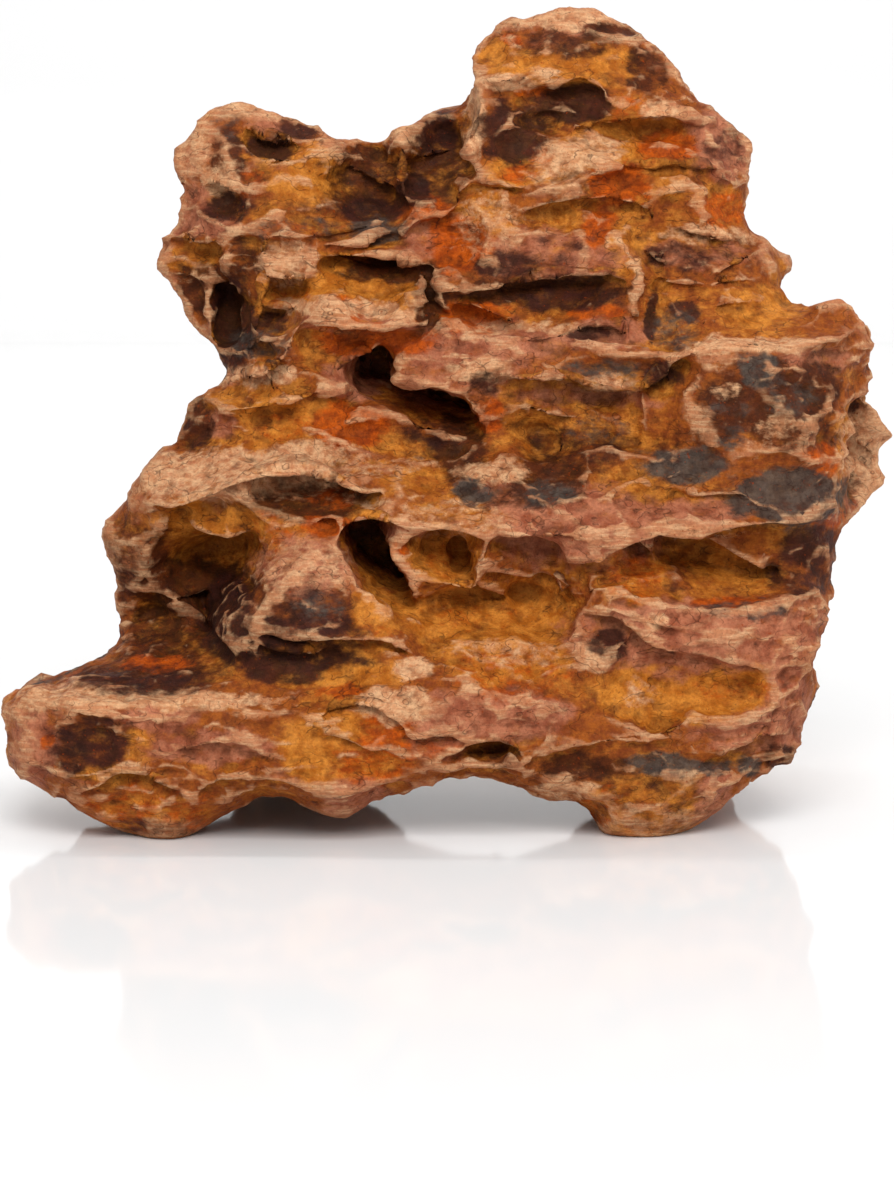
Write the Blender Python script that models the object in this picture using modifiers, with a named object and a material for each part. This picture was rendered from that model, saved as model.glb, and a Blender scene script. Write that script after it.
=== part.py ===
"""Bamboo rock: one free-standing ornamental stone, hollowed and layered, about 22 cm wide.

The face is drawn on a board that leans back behind the feet, in millimetres: across, up, and out
(towards the viewer). Crests, lips and ledges are lines with a height, and the surface between them hangs
like a skin that sags into scoops. A back face is drawn the same way, the two meet along the outline, and
lumps are joined on as feet.
"""
import math

import bmesh
import bpy
import numpy as np
from mathutils import Matrix

NAME = "bamboo_rock"
MM = 0.001

# The board leans back, and the eye that the outline is drawn for stands before it, in mm.
LEAN = math.radians(9)
EYE_DISTANCE = 1100.0
EYE_HEIGHT = 60.5
STONE_SHIFT = (-1.9, -48.9, -1.3)

# The board's edges, the cells that a skin is settled on, coarse to fine, and the sweeps on each.
BOARD_LEFT, BOARD_RIGHT = -116.0, 116.0
BOARD_BOTTOM, BOARD_TOP = -6.0, 214.0
CELLS = (4.0, 2.0, 1.0, 0.5)
SWEEPS = (500, 260, 160, 80)
LINE_STEP = 0.25
DROP_OFFSET = 1.3

# How the face, the back and the underside round over to the outline.
FRONT_ROUNDING = 6.0
BACK_ROUNDING = 26.0
UNDERSIDE_ROUNDING = 13.0
UNDERSIDE_TOP = 42.0
UNDERSIDE_FADE = 24.0
UNDERSIDE_RISE = 0.26
RISE_FADE = 95.0
EDGE_SHARE = 0.16
BACK_DEPTH = 0.92

# How far the recesses reach up under the lips above them.
UNDERCUT = 0.35
UNDERCUT_DEPTH = 16.0
UNDERCUT_START = -2.0
UNDERCUT_MARGIN = 10.0
RECESS_BLUR = 14

# The wear: slow swells, bowls, sharp ridges, how both wander and fade, and pits underneath.
LATTICE = 32
SWELL_SEED = 3
SWELL_SIZE = 24.0
SWELL_HEIGHT = 0.9
SCALLOP_SEED = 4
SCALLOP_SIZE = (15.0, 15.0, 8.0)
SCALLOP_DEPTH = 3.2
SCALLOP_LEVEL = 0.45
RIDGE_SEED = 9
RIDGE_SIZE = (24.0, 24.0, 9.0)
RIDGE_HEIGHT = 0.9
RIDGE_SLOPE = 3.0
STRETCH_SEED = 2
STRETCH_SIZE = 34.0
STRETCH_SHARE = (0.85, 1.0, 0.35, 1.4)
BEND_SEEDS = (6, 7, 8)
BEND_SIZE = 14.0
BEND = 4.0
PIT_SEED = 5
PIT_SIZE = 30.0
PIT_SHARE = 0.3
PIT_DEPTH = 5.0
CALM_HEIGHT = 8.0
CALM_SHARE = 0.1

# The solid: the size of the skin's cells in metres, how many faces are kept, and the stone's look.
VOXEL = 0.0011
TRIANGLES = 9600
STONE_COLOUR = (0.42, 0.22, 0.11, 1.0)
STONE_ROUGHNESS = 0.62

OUTLINE = [
    (-56, 117), (-58, 122), (-62.8, 127.3), (-64.3, 131), (-66.8, 135.5), (-70.5, 143), (-72.5, 146.3),
    (-72.3, 149.8), (-71, 152), (-67.3, 155), (-66.3, 158), (-66, 161.3), (-68.5, 165.5), (-69, 168.5),
    (-68.3, 171.8), (-66.8, 175), (-64.8, 177), (-61.8, 179), (-60.8, 181.8), (-56.3, 185.8), (-53.8, 187.3),
    (-50.5, 186.8), (-47.8, 185.8), (-44.3, 183.5), (-36.8, 180.5), (-31.8, 179.3), (-30, 176.5),
    (-26.8, 177.3), (-19.3, 176.8), (-15.5, 176.5), (-14, 178.8), (-11.8, 179.5), (-8, 179), (-4.8, 180.3),
    (-1.8, 182.5), (0.8, 183.8), (4.5, 186.8), (6.8, 190), (6.8, 191.8), (5.5, 195), (6.5, 197.5), (8.3, 200),
    (10.3, 201.5), (12.5, 204.3), (15.3, 206.3), (19.5, 206.8), (22.8, 208), (29.5, 209.5), (34.5, 209.8),
    (38.3, 208.8), (41.3, 206.5), (47.3, 205), (48.8, 202.8), (54.5, 198.5), (57, 195), (59.5, 191),
    (63.3, 186), (68.8, 180.5), (72, 178), (75, 174.8), (75.5, 171), (77, 166.8), (76.3, 162.5),
    (75.3, 159.3), (74.3, 155), (76.3, 153), (79.5, 151.3), (81.5, 148.8), (83.3, 147.5), (84.8, 147),
    (86, 144.8), (85.5, 142.3), (84, 140.5), (83, 139.3), (83.8, 137.5), (84.8, 134.8), (86.3, 133.5),
    (90.3, 132.5), (94.5, 134.5), (97, 134.5), (100.3, 133.5), (102.5, 131.8), (105.8, 129), (105.3, 126.8),
    (108, 123.8), (106.3, 120.5), (105.3, 116.8), (104.3, 111), (106.5, 108), (109.5, 106), (111, 103.8),
    (110.5, 100.5), (109.5, 96.8), (110.5, 93.5), (110.8, 90.5), (109.5, 88), (105.8, 85), (102, 81.8),
    (100, 79.3), (98.3, 75.5), (97.3, 73), (97, 70.5), (96, 67.5), (96, 64.3), (97, 61), (95.3, 59),
    (94.5, 55.5), (93, 45.5), (91.3, 35.5), (90.8, 30.5), (89.5, 27.3), (88, 25), (87.5, 21.8), (86.5, 18.5),
    (84.5, 17.3), (79.5, 15.5), (74.5, 13), (72, 10.5), (68.3, 7.5), (63.3, 4.3), (58.3, 1.8), (53.3, -0.3),
    (48.3, -0.8), (43.3, 0), (39.5, 1), (37.8, 3.5), (35.8, 6.8), (33.3, 9.5), (28.3, 9.8), (23.3, 11),
    (18.3, 13), (13.3, 14.3), (2, 14.3), (-1.8, 12.8), (-6.8, 11.3), (-11.8, 9.8), (-16.8, 8.5),
    (-21.8, 6.3), (-24.8, 4.8), (-28, 4.8), (-31.8, 5.8), (-36.8, 7.5), (-40.5, 9.3), (-47.3, 9.8),
    (-49.3, 8), (-53, 6.8), (-56.8, 5.5), (-60.5, 3.5), (-64.3, 1.5), (-67.3, -0.3), (-70.5, -0.8),
    (-74.8, 0), (-77.5, 1.5), (-81.3, 2.3), (-86.8, 3.8), (-92.3, 6), (-94.3, 8), (-96.3, 9.5), (-98, 9),
    (-100.5, 11), (-104.3, 13.3), (-108, 15.3), (-109.3, 18), (-110, 21.3), (-109.5, 25), (-109.8, 28),
    (-110.8, 30.5), (-111, 33.5), (-109.8, 35.5), (-107.5, 37.3), (-105.5, 38.5), (-99.3, 39.8),
    (-95.5, 41.5), (-91.8, 43.3), (-88, 44.8), (-85, 45.5), (-82.5, 50), (-81.5, 53), (-81.5, 56.8),
    (-83, 58), (-82.8, 61.3), (-81.8, 63.5), (-83.5, 66.8), (-84.8, 70.5), (-86.5, 75.5), (-85.5, 78.8),
    (-83.8, 81.8), (-81.3, 84.3), (-79.8, 86.8), (-78.5, 90), (-76.8, 93), (-74.3, 95.5), (-70.5, 97.5),
    (-66.5, 98.5), (-66.5, 101.8), (-65.5, 105.5), (-64.3, 109.3), (-63, 111.8), (-60.5, 114.3),
]

# Each line: how much deeper the face stands just below it (just above it if negative), then its points.
UPPER_LEFT_LINES = [
    (0, [(-60, 181, -30), (-54, 184.5, -27), (-48, 183, -27), (-42, 180, -29), (-34, 177, -31)]),
    (9, [(-51, 178, -25), (-47, 176, -22), (-42, 175.5, -22), (-38, 174.5, -24)]),
    (0, [(-51, 175.5, -24), (-48, 172.5, -20), (-44, 171, -18), (-37, 171, -19), (-30, 172.5, -24),
         (-24, 175.5, -31)]),
    (0, [(-24, 175, -31), (-30.5, 170.5, -24), (-36, 166, -20), (-40.5, 161, -18)]),
    (0, [(-66, 174, -33), (-63, 171, -25), (-61.5, 167, -24), (-62, 163.5, -27)]),
    (0, [(-58, 177, -27), (-59.5, 170, -25), (-57, 166, -22), (-53.5, 162, -21)]),
    (7, [(-61, 163.5, -25), (-57, 163.5, -21), (-53, 161.5, -20)]),
    (0, [(-65, 157, -33), (-60, 156, -27), (-54, 157, -22), (-50, 159, -19)]),
    (0, [(-50, 170, -21), (-48, 165, -19), (-46, 160, -18)]),
    (4, [(-27, 169, -29), (-22, 165.5, -30), (-17, 162.5, -29), (-11.5, 160, -26)]),
    (0, [(-15, 178, -30), (-11.5, 175, -24), (-11.5, 170, -22), (-11, 165, -21), (-11, 160, -22)]),
    (0, [(-47, 156.5, -17), (-43, 159, -14), (-39.5, 157.5, -16)]),
    (4, [(-52, 151.5, -19), (-44, 151, -12), (-36, 151, -11), (-28, 152.5, -14), (-20, 154, -19),
         (-12, 156, -25)]),
    (5, [(-33, 149, -14), (-26, 149, -15), (-19, 151, -19), (-12, 152, -23)]),
    (0, [(-52, 151.5, -19), (-55, 147, -20), (-54.5, 142, -24)]),
    (5, [(-71, 150, -36), (-66, 150.5, -27), (-60, 149.5, -23), (-55.5, 150, -21)]),
    (0, [(-69, 141.5, -35), (-64, 141, -29), (-61, 139.5, -29), (-57, 141, -30)]),
    (0, [(-65, 137, -36), (-60, 137.5, -30), (-56, 138.5, -31)]),
    (0, [(-60, 137, -30), (-59.5, 131, -27), (-58.5, 126, -26), (-56, 120.5, -25)]),
    (0, [(-46, 150, -12), (-46.5, 141, -11), (-48.5, 135, -14), (-49, 129, -16), (-50, 125, -18),
         (-52.5, 122.5, -22)]),
    (0, [(-33, 149, -13), (-32, 143, -12), (-33, 139, -14)]),
    (6, [(-46, 141, -11), (-41, 140.5, -10), (-36, 139.5, -11), (-33, 139, -14)]),
    (6, [(-48, 132.5, -15), (-43, 133, -14), (-38, 131.5, -13)]),
    (3, [(-54, 121.5, -22), (-50, 124, -16), (-44, 125.5, -13), (-40, 127.5, -11)]),
    (0, [(-55, 120, -23), (-48, 120.5, -17), (-42, 121, -13)]),
]

PEAK_LINES = [
    (0, [(10, 201, -36), (17, 203, -31), (25, 206, -30), (33, 206.5, -30), (40, 204.5, -31), (46, 203, -34)]),
    (0, [(9, 196, -31), (16, 197, -25), (24, 196, -23), (34, 197, -23), (44, 197, -26), (53, 195, -32)]),
    (4, [(8, 190.5, -18), (13, 190, -15), (18, 191, -15), (22, 191.5, -17)]),
    (0, [(22, 191.5, -17), (30, 193, -20), (38, 192, -20), (46, 190, -21), (54, 188, -24), (60, 187, -30)]),
    (0, [(7, 190, -19), (8, 186, -15), (7.5, 182, -13), (6, 178, -12), (4.6, 174.5, -11), (4.8, 171.5, -11),
         (7, 169.5, -13), (8, 166, -15)]),
    (0, [(5.4, 187.5, -30), (6, 184, -33), (5.2, 181, -34), (3.6, 177, -35), (2.6, 174, -35), (3, 170, -34)]),
    (7, [(22, 187.5, -20), (28, 189.5, -20), (33, 190, -20), (38, 188.5, -20), (40.5, 185, -20)]),
    (3, [(18, 180, -20), (24, 180.5, -23), (31, 181, -24), (38, 180.5, -22)]),
    (0, [(24, 175, -20), (20, 172, -18), (16, 168, -15), (13, 166.5, -14)]),
    (6, [(30, 177, -19), (34, 178.7, -19), (39, 179.2, -19), (45, 180.2, -19), (52, 180.7, -19),
         (60, 181.2, -21), (66, 179.7, -26)]),
    (0, [(25, 175.5, -19), (28, 176.3, -17), (31, 175.5, -16), (33, 173, -14), (37, 171, -12),
         (43, 169.2, -12)]),
    (0, [(27, 174, -17), (26, 169, -14), (24, 164, -12)]),
    (3, [(43, 169, -12), (47, 170.2, -14), (50, 168.9, -15), (53, 169.5, -15), (58, 169.5, -15),
         (63, 168.9, -16), (68, 168.7, -18), (73, 166, -24)]),
    (0, [(56.5, 171, -19), (57.5, 173.5, -21), (61, 175, -22), (65, 173.5, -21)]),
    (0, [(50, 160.3, -13), (55, 162.3, -13), (60, 166, -15)]),
    (0, [(58, 184, -24), (64, 183, -28), (68, 179, -32)]),
    (0, [(66, 176, -23), (71, 174, -26), (75, 171, -36)]),
    (0, [(66, 168, -18), (72, 164.5, -22), (76, 161, -32)]),
    (0, [(64, 163, -17), (64.5, 158, -17), (65, 155, -17)]),
    (0, [(74, 164, -27), (74, 159, -28), (73.5, 155.5, -29)]),
    (3, [(-9, 168, -30), (-4, 169.5, -31), (1, 170, -33), (5, 168, -28)]),
    (0, [(-14.5, 178.5, -31), (-11, 178, -27), (-8, 176.5, -29)]),
]

SHOULDER_LINES = [
    (7, [(8, 166, -15), (11, 165.3, -13), (15, 163.5, -12), (20, 163, -12)]),
    (5, [(19, 157, -12), (24, 158.7, -11), (30, 159.7, -11), (36, 160.5, -11), (42, 160.7, -12),
         (47, 159.7, -12), (50, 157, -13), (51.5, 154, -14)]),
    (0, [(5, 161, -15), (9, 157, -12), (11, 153, -11), (9, 149.5, -12)]),
    (0, [(14, 161, -14), (15, 156, -11), (17, 151, -10)]),
    (6, [(-12, 150, -22), (-9.5, 153.5, -18), (-5.5, 156, -16), (0, 157.2, -14), (2.5, 159.2, -14),
         (3, 162, -15), (5, 164.5, -16), (8, 166.2, -16)]),
    (0, [(-12, 147.5, -20), (-6, 145, -17), (0, 144.5, -15), (6, 146, -13)]),
    (0, [(-4, 142.7, -13), (1, 143.7, -12), (6, 143.5, -11), (9, 145.8, -10), (12, 146.3, -10),
         (16, 145, -10), (22, 146, -11), (30, 146.5, -11), (38, 147, -11), (43, 146, -11)]),
    (9, [(-2.5, 138.5, -9), (3, 137, -7), (10, 137.5, -7), (16, 139, -8), (22, 140, -8), (28, 140.5, -8),
         (34, 141.3, -8), (40, 141.3, -8), (44, 139.7, -9)]),
    (0, [(-3, 142, -12), (-2, 137, -9), (-1, 133, -10), (2, 131, -11)]),
    (0, [(-4.5, 142, -19), (-4.2, 137, -22), (-3.6, 132, -20)]),
    (0, [(0, 134, -11), (6, 134, -9), (12, 131.5, -8), (16, 129.5, -7)]),
    (0, [(42, 151.7, -11), (45, 149, -10), (46.5, 145, -9), (48.7, 141, -8), (48, 137, -7), (45.5, 134, -6),
         (48, 132, -4)]),
    (3, [(56, 152, -17), (63, 151, -16), (70, 150, -18), (77, 151, -25)]),
    (3, [(62, 139, -14), (68, 142, -14), (74, 145.5, -17), (80, 148.5, -24)]),
    (4, [(48.5, 149.2, -14), (50, 146.7, -12), (52.5, 144.7, -11), (54.5, 143.7, -12)]),
    (2, [(54, 139.7, -11), (60, 138.7, -11), (68, 139.7, -13), (76, 140.2, -17), (82, 139.2, -25)]),
    (2, [(62, 133.2, -8), (70, 134.2, -10), (78, 134.7, -14), (85, 134.2, -24)]),
    (0, [(57, 127, -5), (63, 127, -3), (70, 126.7, 0)]),
    (0, [(53.2, 138, -15), (52.2, 133, -14), (51.4, 127, -10)]),
    (0, [(80.5, 147, -25), (81.5, 143.5, -24), (82.3, 140, -25)]),
    (0, [(82.7, 146.8, -36), (83.6, 143.5, -37), (83.8, 141, -38)]),
]

MIDDLE_LINES = [
    (15, [(-31, 145.7, -15), (-24, 145.7, -15), (-17, 146.2, -16), (-11, 145.7, -16), (-3.5, 143.5, -14)]),
    (0, [(-40.5, 122.5, -9), (-39, 127, -8), (-36.5, 130.5, -6), (-33, 133, -5), (-29.5, 134.3, -4),
         (-26, 133.5, -4), (-22.5, 132, -5), (-19, 131, -6), (-15, 131.5, -6), (-11.5, 133, -7),
         (-8.5, 135, -7), (-6.5, 138, -9), (-6, 141, -12)]),
    (9, [(-34, 128.5, -5), (-27, 128, -4), (-20, 127.5, -4), (-12, 129, -5), (-5, 129.5, -7)]),
    (5, [(-58, 116, -22), (-52, 115.7, -16), (-46, 117, -10), (-42.5, 119, -8), (-40.5, 122.5, -9)]),
    (0, [(-60, 107, -21), (-54, 108, -12), (-46, 109, -8), (-38, 109, -8), (-30, 110, -9), (-26, 112, -9)]),
    (0, [(-45.5, 115, -10), (-42, 113.7, -8), (-39, 111.9, -7), (-33, 112.2, -7), (-30, 115, -9),
         (-26.5, 118.5, -10), (-22, 121, -11), (-18, 122.5, -11)]),
    (8, [(-14.5, 116.2, -12), (-12, 115, -9), (-7, 114.7, -7), (-1.5, 113.7, -6), (3, 111.2, -7),
         (6, 107.8, -9), (8.5, 104.2, -11)]),
    (0, [(8.5, 104, -11), (8.5, 101, -11), (7, 98, -11), (5.5, 95, -9)]),
    (0, [(9, 102.5, -11), (14, 102.3, -11), (19.5, 101.8, -13), (22, 99, -14), (24.5, 97, -12)]),
    (0, [(-62, 110.5, -24), (-60, 107.5, -21), (-61, 103, -23), (-60, 99.5, -23)]),
    (-9, [(-9, 124.2, -11), (-4.5, 127.3, -9), (2, 129.8, -8), (6, 127.2, -6), (12, 126.2, -5),
          (18, 127.2, -4), (24, 127.9, -4), (28.5, 127, -4)]),
    (6, [(28.5, 127.2, -4), (34, 128.7, -3), (39, 129.2, -3), (45, 128.7, -2)]),
    (0, [(28.5, 126, -4), (36, 126, -2), (44, 125.5, -1), (51, 124.7, 0)]),
    (0, [(-14.5, 118.5, -12), (-12, 120, -10), (-6, 121, -7), (0, 121, -5), (8, 120.5, -4), (14, 120, -4),
         (20, 120, -4), (28, 120.5, -3), (38, 121, -2), (48, 122, -1)]),
    (10, [(13, 116, -5), (18, 114.5, -3), (24, 114.5, -2), (31, 115.2, -1), (34, 113.7, 0), (38, 112.2, 0),
          (44, 111.9, 1), (50, 112.5, 1), (55, 114.7, 1), (58, 117.5, 1)]),
    (0, [(13, 117, -5), (12, 113, -6), (10, 109, -8), (9, 104, -11)]),
    (0, [(49, 111, 0), (48.5, 106, -1), (49, 101, -2), (47.5, 97, -2), (43, 94, -2), (39, 92.5, -1)]),
]

LEDGE_LINES = [
    (0, [(-66.5, 98.3, -26), (-57, 98.8, -17), (-50, 97.5, -13), (-42, 97, -11), (-36, 96, -9),
         (-30, 94.5, -8), (-20, 94, -6), (-12, 93.3, -5), (-8, 92.5, -5), (-5.5, 90.3, -5), (-4, 88.5, -5)]),
    (0, [(-1.5, 87.3, -3), (1.5, 89, -4), (4, 91.7, -5), (8, 93.7, -5), (14.5, 94.5, -4), (20, 93.8, -4),
         (24, 94.2, -4), (28.5, 95.7, -4), (33, 94, -2), (38, 92, -1), (45, 90.8, 0), (53, 88.8, 1)]),
    (0, [(-81, 84, -24), (-76, 85, -13), (-73, 84.2, -8), (-69, 83, -5), (-64, 84.7, -3), (-59, 86.7, -1),
         (-55, 88.7, 0), (-51, 90, 0)]),
    (11, [(-51, 90, 0), (-46, 91, 1), (-42, 91, 1), (-35, 91.3, 1), (-30, 90.3, 1), (-25, 88, 1),
          (-20, 86.7, 1), (-16.5, 87.5, 0)]),
    (0, [(-52.5, 86.7, -4), (-48, 84.7, -3), (-43, 83.2, -2), (-38, 81.2, -1), (-35, 80.5, -1),
         (-30, 81, 0), (-24, 81.5, 1), (-19, 82.5, 2), (-15, 85, 1)]),
    (0, [(-37, 78.5, -1), (-33, 77, 1), (-30, 76.3, 2), (-27.3, 75.8, 3), (-25.5, 79, 3), (-21, 82, 3),
         (-16, 83.5, 2), (-11, 85, 1), (-7, 87, -1), (-4, 88.5, -4)]),
    (0, [(-53, 86.5, -4), (-49.5, 83, -3), (-46, 80, -3), (-41, 79, -2), (-37, 78.5, -1)]),
    (5, [(-66, 79.5, -15), (-62, 77.2, -12), (-58, 75.7, -11), (-53, 74.7, -11), (-49.5, 73, -12),
         (-47.5, 70, -15)]),
    (0, [(-83, 81, -27), (-78, 76, -18), (-75, 70, -18), (-76, 65, -21)]),
    (0, [(-73, 84, -9), (-70.5, 80, -13), (-71, 75, -16)]),
    (3, [(-82, 62, -30), (-76, 61.5, -25), (-70, 61, -25), (-63, 58.5, -29), (-57, 57.8, -33)]),
    (0, [(-70, 60.5, -25), (-65.5, 56, -26), (-62.5, 51.5, -27), (-61, 47.5, -27)]),
    (0, [(-25, 79, 3), (-20, 80.5, 4), (-14, 79.7, 5), (-8, 78.7, 5), (0, 78, 6), (8, 77.5, 7)]),
    (8, [(-11, 73, 2), (-9, 75.5, 3), (-3, 76.7, 4), (3, 76.5, 5), (7.5, 75.2, 6)]),
    (0, [(-11, 69, 1), (-7, 66, 3), (-3, 65, 4), (2, 64.3, 4), (6, 63, 3)]),
    (0, [(-15.5, 75, 1), (-13, 70, 1), (-10, 65, 2), (-8.5, 60, 2)]),
    (0, [(12, 77, 7), (9.5, 73, 7), (8, 69, 7), (7, 63, 4)]),
]

NOSE_LINES = [
    (0, [(-38, 75, 1), (-33, 75, 3), (-27.5, 75.3, 5), (-25.3, 71.5, 7), (-23, 67, 8), (-20, 63, 9),
         (-16.5, 60, 9)]),
    (0, [(-40, 73, 0), (-45, 68.5, 1), (-47.5, 66, 1), (-50, 61.5, 2), (-52.5, 58.5, 3), (-55.5, 57, 3),
         (-56.5, 53, 4), (-56, 49.5, 5), (-53.5, 46.5, 6), (-51, 44, 8)]),
    (0, [(-33, 72, 8), (-38, 66, 11), (-44, 61, 12), (-49, 55, 12), (-50, 50, 12)]),
    (0, [(-48.6, 69, -22), (-51.5, 64.5, -26), (-54.5, 60.5, -28), (-58, 58, -30), (-59, 53, -30),
         (-58.5, 49, -26), (-56, 45.5, -14)]),
    (0, [(-40, 62, 11), (-34, 64, 10), (-28, 65, 10), (-25, 63, 10), (-24, 58, 10), (-23, 52, 10)]),
    (5, [(-47, 50.7, 13), (-45.5, 52, 13), (-42, 50, 13), (-38, 49.5, 14), (-30, 50.2, 14),
         (-20, 50.4, 14), (-15, 50, 13), (-11.5, 48.2, 12), (-7.5, 45.7, 9)]),
    (5, [(-47, 49, 12), (-43, 47.5, 12), (-38, 46, 12), (-32, 45.5, 11)]),
    (0, [(-50, 38.5, 15), (-42, 38, 15), (-34, 39, 13), (-27, 40, 12)]),
    (0, [(-20, 61, 9), (-14.5, 59, 8), (-14, 55, 8), (-10, 51, 8), (-6, 47.5, 8), (-3, 46, 8)]),
    (-8, [(-4, 46.5, 8), (-1, 49, 7), (3, 51.3, 5), (8, 50, 5), (12, 50, 6), (17, 50.8, 6), (22, 49.2, 6),
          (27, 48.8, 7), (30.5, 50.5, 7), (32, 53.5, 7), (33, 58, 6)]),
    (0, [(7, 63, 2), (10.5, 61, -2), (14.5, 58, -7), (18, 52.5, -8)]),
    (3, [(8.5, 66.5, 4), (13, 67, 2), (18, 65.2, -1), (24, 63.7, -5), (29, 62.2, -1)]),
    (0, [(24, 72, 4), (27, 69.5, 1), (28.5, 66, 0), (29.5, 63, 1), (28, 61, 2)]),
    (0, [(-13, 41, 12), (-10, 44, 12), (-5, 45, 11), (-2, 43.5, 13), (3, 41, 16)]),
    (0, [(-16, 36, 18), (-10, 36.5, 18), (-5, 34, 20)]),
]

RIGHT_LINES = [
    (0, [(54, 118, 1), (58, 121, 4), (62, 123.3, 6), (68, 124.9, 7), (74, 125.7, 7), (80, 125.7, 6),
         (86, 124.9, 5), (91, 124.4, 4), (96, 126.2, 1), (101, 128.3, -3), (105.5, 126, -14)]),
    (0, [(74, 129.3, -11), (80, 129.3, -13), (86, 130.5, -16), (92, 133, -22)]),
    (0, [(94, 131, -13), (99, 132, -14), (103, 130.2, -16)]),
    (0, [(100, 122, -3), (104, 122.5, -8)]),
    (0, [(60, 110, 5), (64, 104, 7), (66, 98, 7)]),
    (0, [(78, 113, 8), (86, 108, 10), (90, 101, 9)]),
    (0, [(104.5, 117, -12), (102.7, 111, -9), (100, 106.5, -4), (99.5, 100.5, -2), (98.5, 94, -2),
         (98.5, 88, -2), (98, 82.5, -4)]),
    (0, [(103.8, 109, -34), (101.8, 105.5, -38), (101.3, 100, -40), (100.5, 94, -40), (100.5, 88, -40),
         (100, 83, -38)]),
    (0, [(104, 104, -38), (107, 103, -38), (109.5, 100, -42)]),
    (3, [(103, 96, -38), (108, 94, -42)]),
    (0, [(103, 89, -38), (107, 89.5, -42)]),
    (2, [(50, 88.2, 3), (54, 87.7, 4), (58, 86.7, 4), (62, 85.7, 5), (68, 86.2, 6), (74, 86.2, 6),
         (78, 83.7, 6), (84, 81.7, 5), (92, 81.2, 3)]),
    (2, [(71, 95, 7), (78, 97.5, 9), (86, 97, 9), (92, 95, 7), (97, 92, 1)]),
    (0, [(13, 80.5, 6), (17.5, 80.5, 7), (19.5, 82.5, 7), (24, 83.8, 7), (29, 85.7, 7), (34, 88, 6),
         (40, 89, 4)]),
    (0, [(7.5, 75.5, 7), (11, 76, 8), (16, 79, 8), (18.5, 81.5, 7)]),
    (0, [(16, 76, 10), (24, 76, 13), (34, 76, 14), (44, 77, 13), (54, 79, 11), (66, 79.7, 9),
         (80, 80, 8), (94, 80.3, 2)]),
    (10, [(30, 69, 9), (34, 68, 11), (38, 69.5, 13), (43, 72, 13), (48, 74.5, 13), (53, 76.2, 11),
          (58, 75.5, 10), (64, 76, 9), (72, 77.7, 8), (80, 78.5, 7), (90, 79.3, 3), (97, 79.5, -6)]),
    (0, [(48, 73.3, 6), (51, 70, 1), (55, 65, 0), (60.5, 60.5, 6)]),
    (3, [(60, 74.5, -1), (66, 72.2, -3), (72, 69.7, -3), (79, 67.2, -1)]),
    (-8, [(33, 63, 8), (36, 64.3, 10), (41, 63.3, 11), (48, 61.5, 11), (55, 60, 11), (62, 59.3, 10),
          (68, 58.5, 9), (74, 59, 9), (80, 60.3, 8), (86, 62, 5), (92, 63, -1), (95.5, 62.5, -8)]),
    (0, [(40, 58, 13), (52, 54.5, 14), (65, 52, 13), (80, 51, 10), (90, 50, 3)]),
    (5, [(33, 57.5, 7), (38, 55.7, 10), (43, 53.2, 11), (46, 51, 11), (50, 49.2, 12), (56, 46.7, 12),
         (62, 45.7, 12), (72, 44.2, 11), (80, 42.9, 9)]),
    (0, [(31, 43, 9), (36, 45.5, 10), (40, 47.3, 11), (45, 49.8, 11)]),
    (0, [(79, 42.5, 9), (82.5, 39, 8), (83.5, 35.5, 7), (82, 32.7, 8)]),
    (-6, [(37, 32, 12), (44, 30.3, 13), (50, 29, 13), (52.5, 27.5, 13), (57, 29.5, 13), (62, 32.3, 12),
          (70, 32, 11), (76, 32.3, 10), (81.5, 33, 8)]),
    (0, [(40, 47, 11), (38.5, 41, 10), (38, 36, 11), (37, 32, 12)]),
    (0, [(86, 44, 5), (87.5, 36, 2), (88, 30, 0)]),
    (6, [(87.5, 26, -4), (84, 25.2, 3), (78, 24.2, 6), (71, 22, 8), (66, 20.2, 8), (62.5, 19.2, 8)]),
    (3, [(20, 20.7, 13), (25, 21.4, 14), (31, 23.2, 14), (38, 24.4, 14), (45, 24.7, 14), (52, 25.2, 13),
         (58, 25.2, 12), (61, 24, 11), (62, 19.5, 8)]),
    (0, [(32, 14, 9), (38, 10, 8), (45, 7, 7), (52, 6, 7), (60, 9, 6), (68, 13, 5)]),
    (0, [(45, 18, 11), (55, 16, 10), (65, 16, 7), (75, 17.5, 3)]),
    (0, [(20, 18.5, 12), (26, 15, 11), (31, 12, 9), (35, 7.5, 6)]),
]

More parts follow.
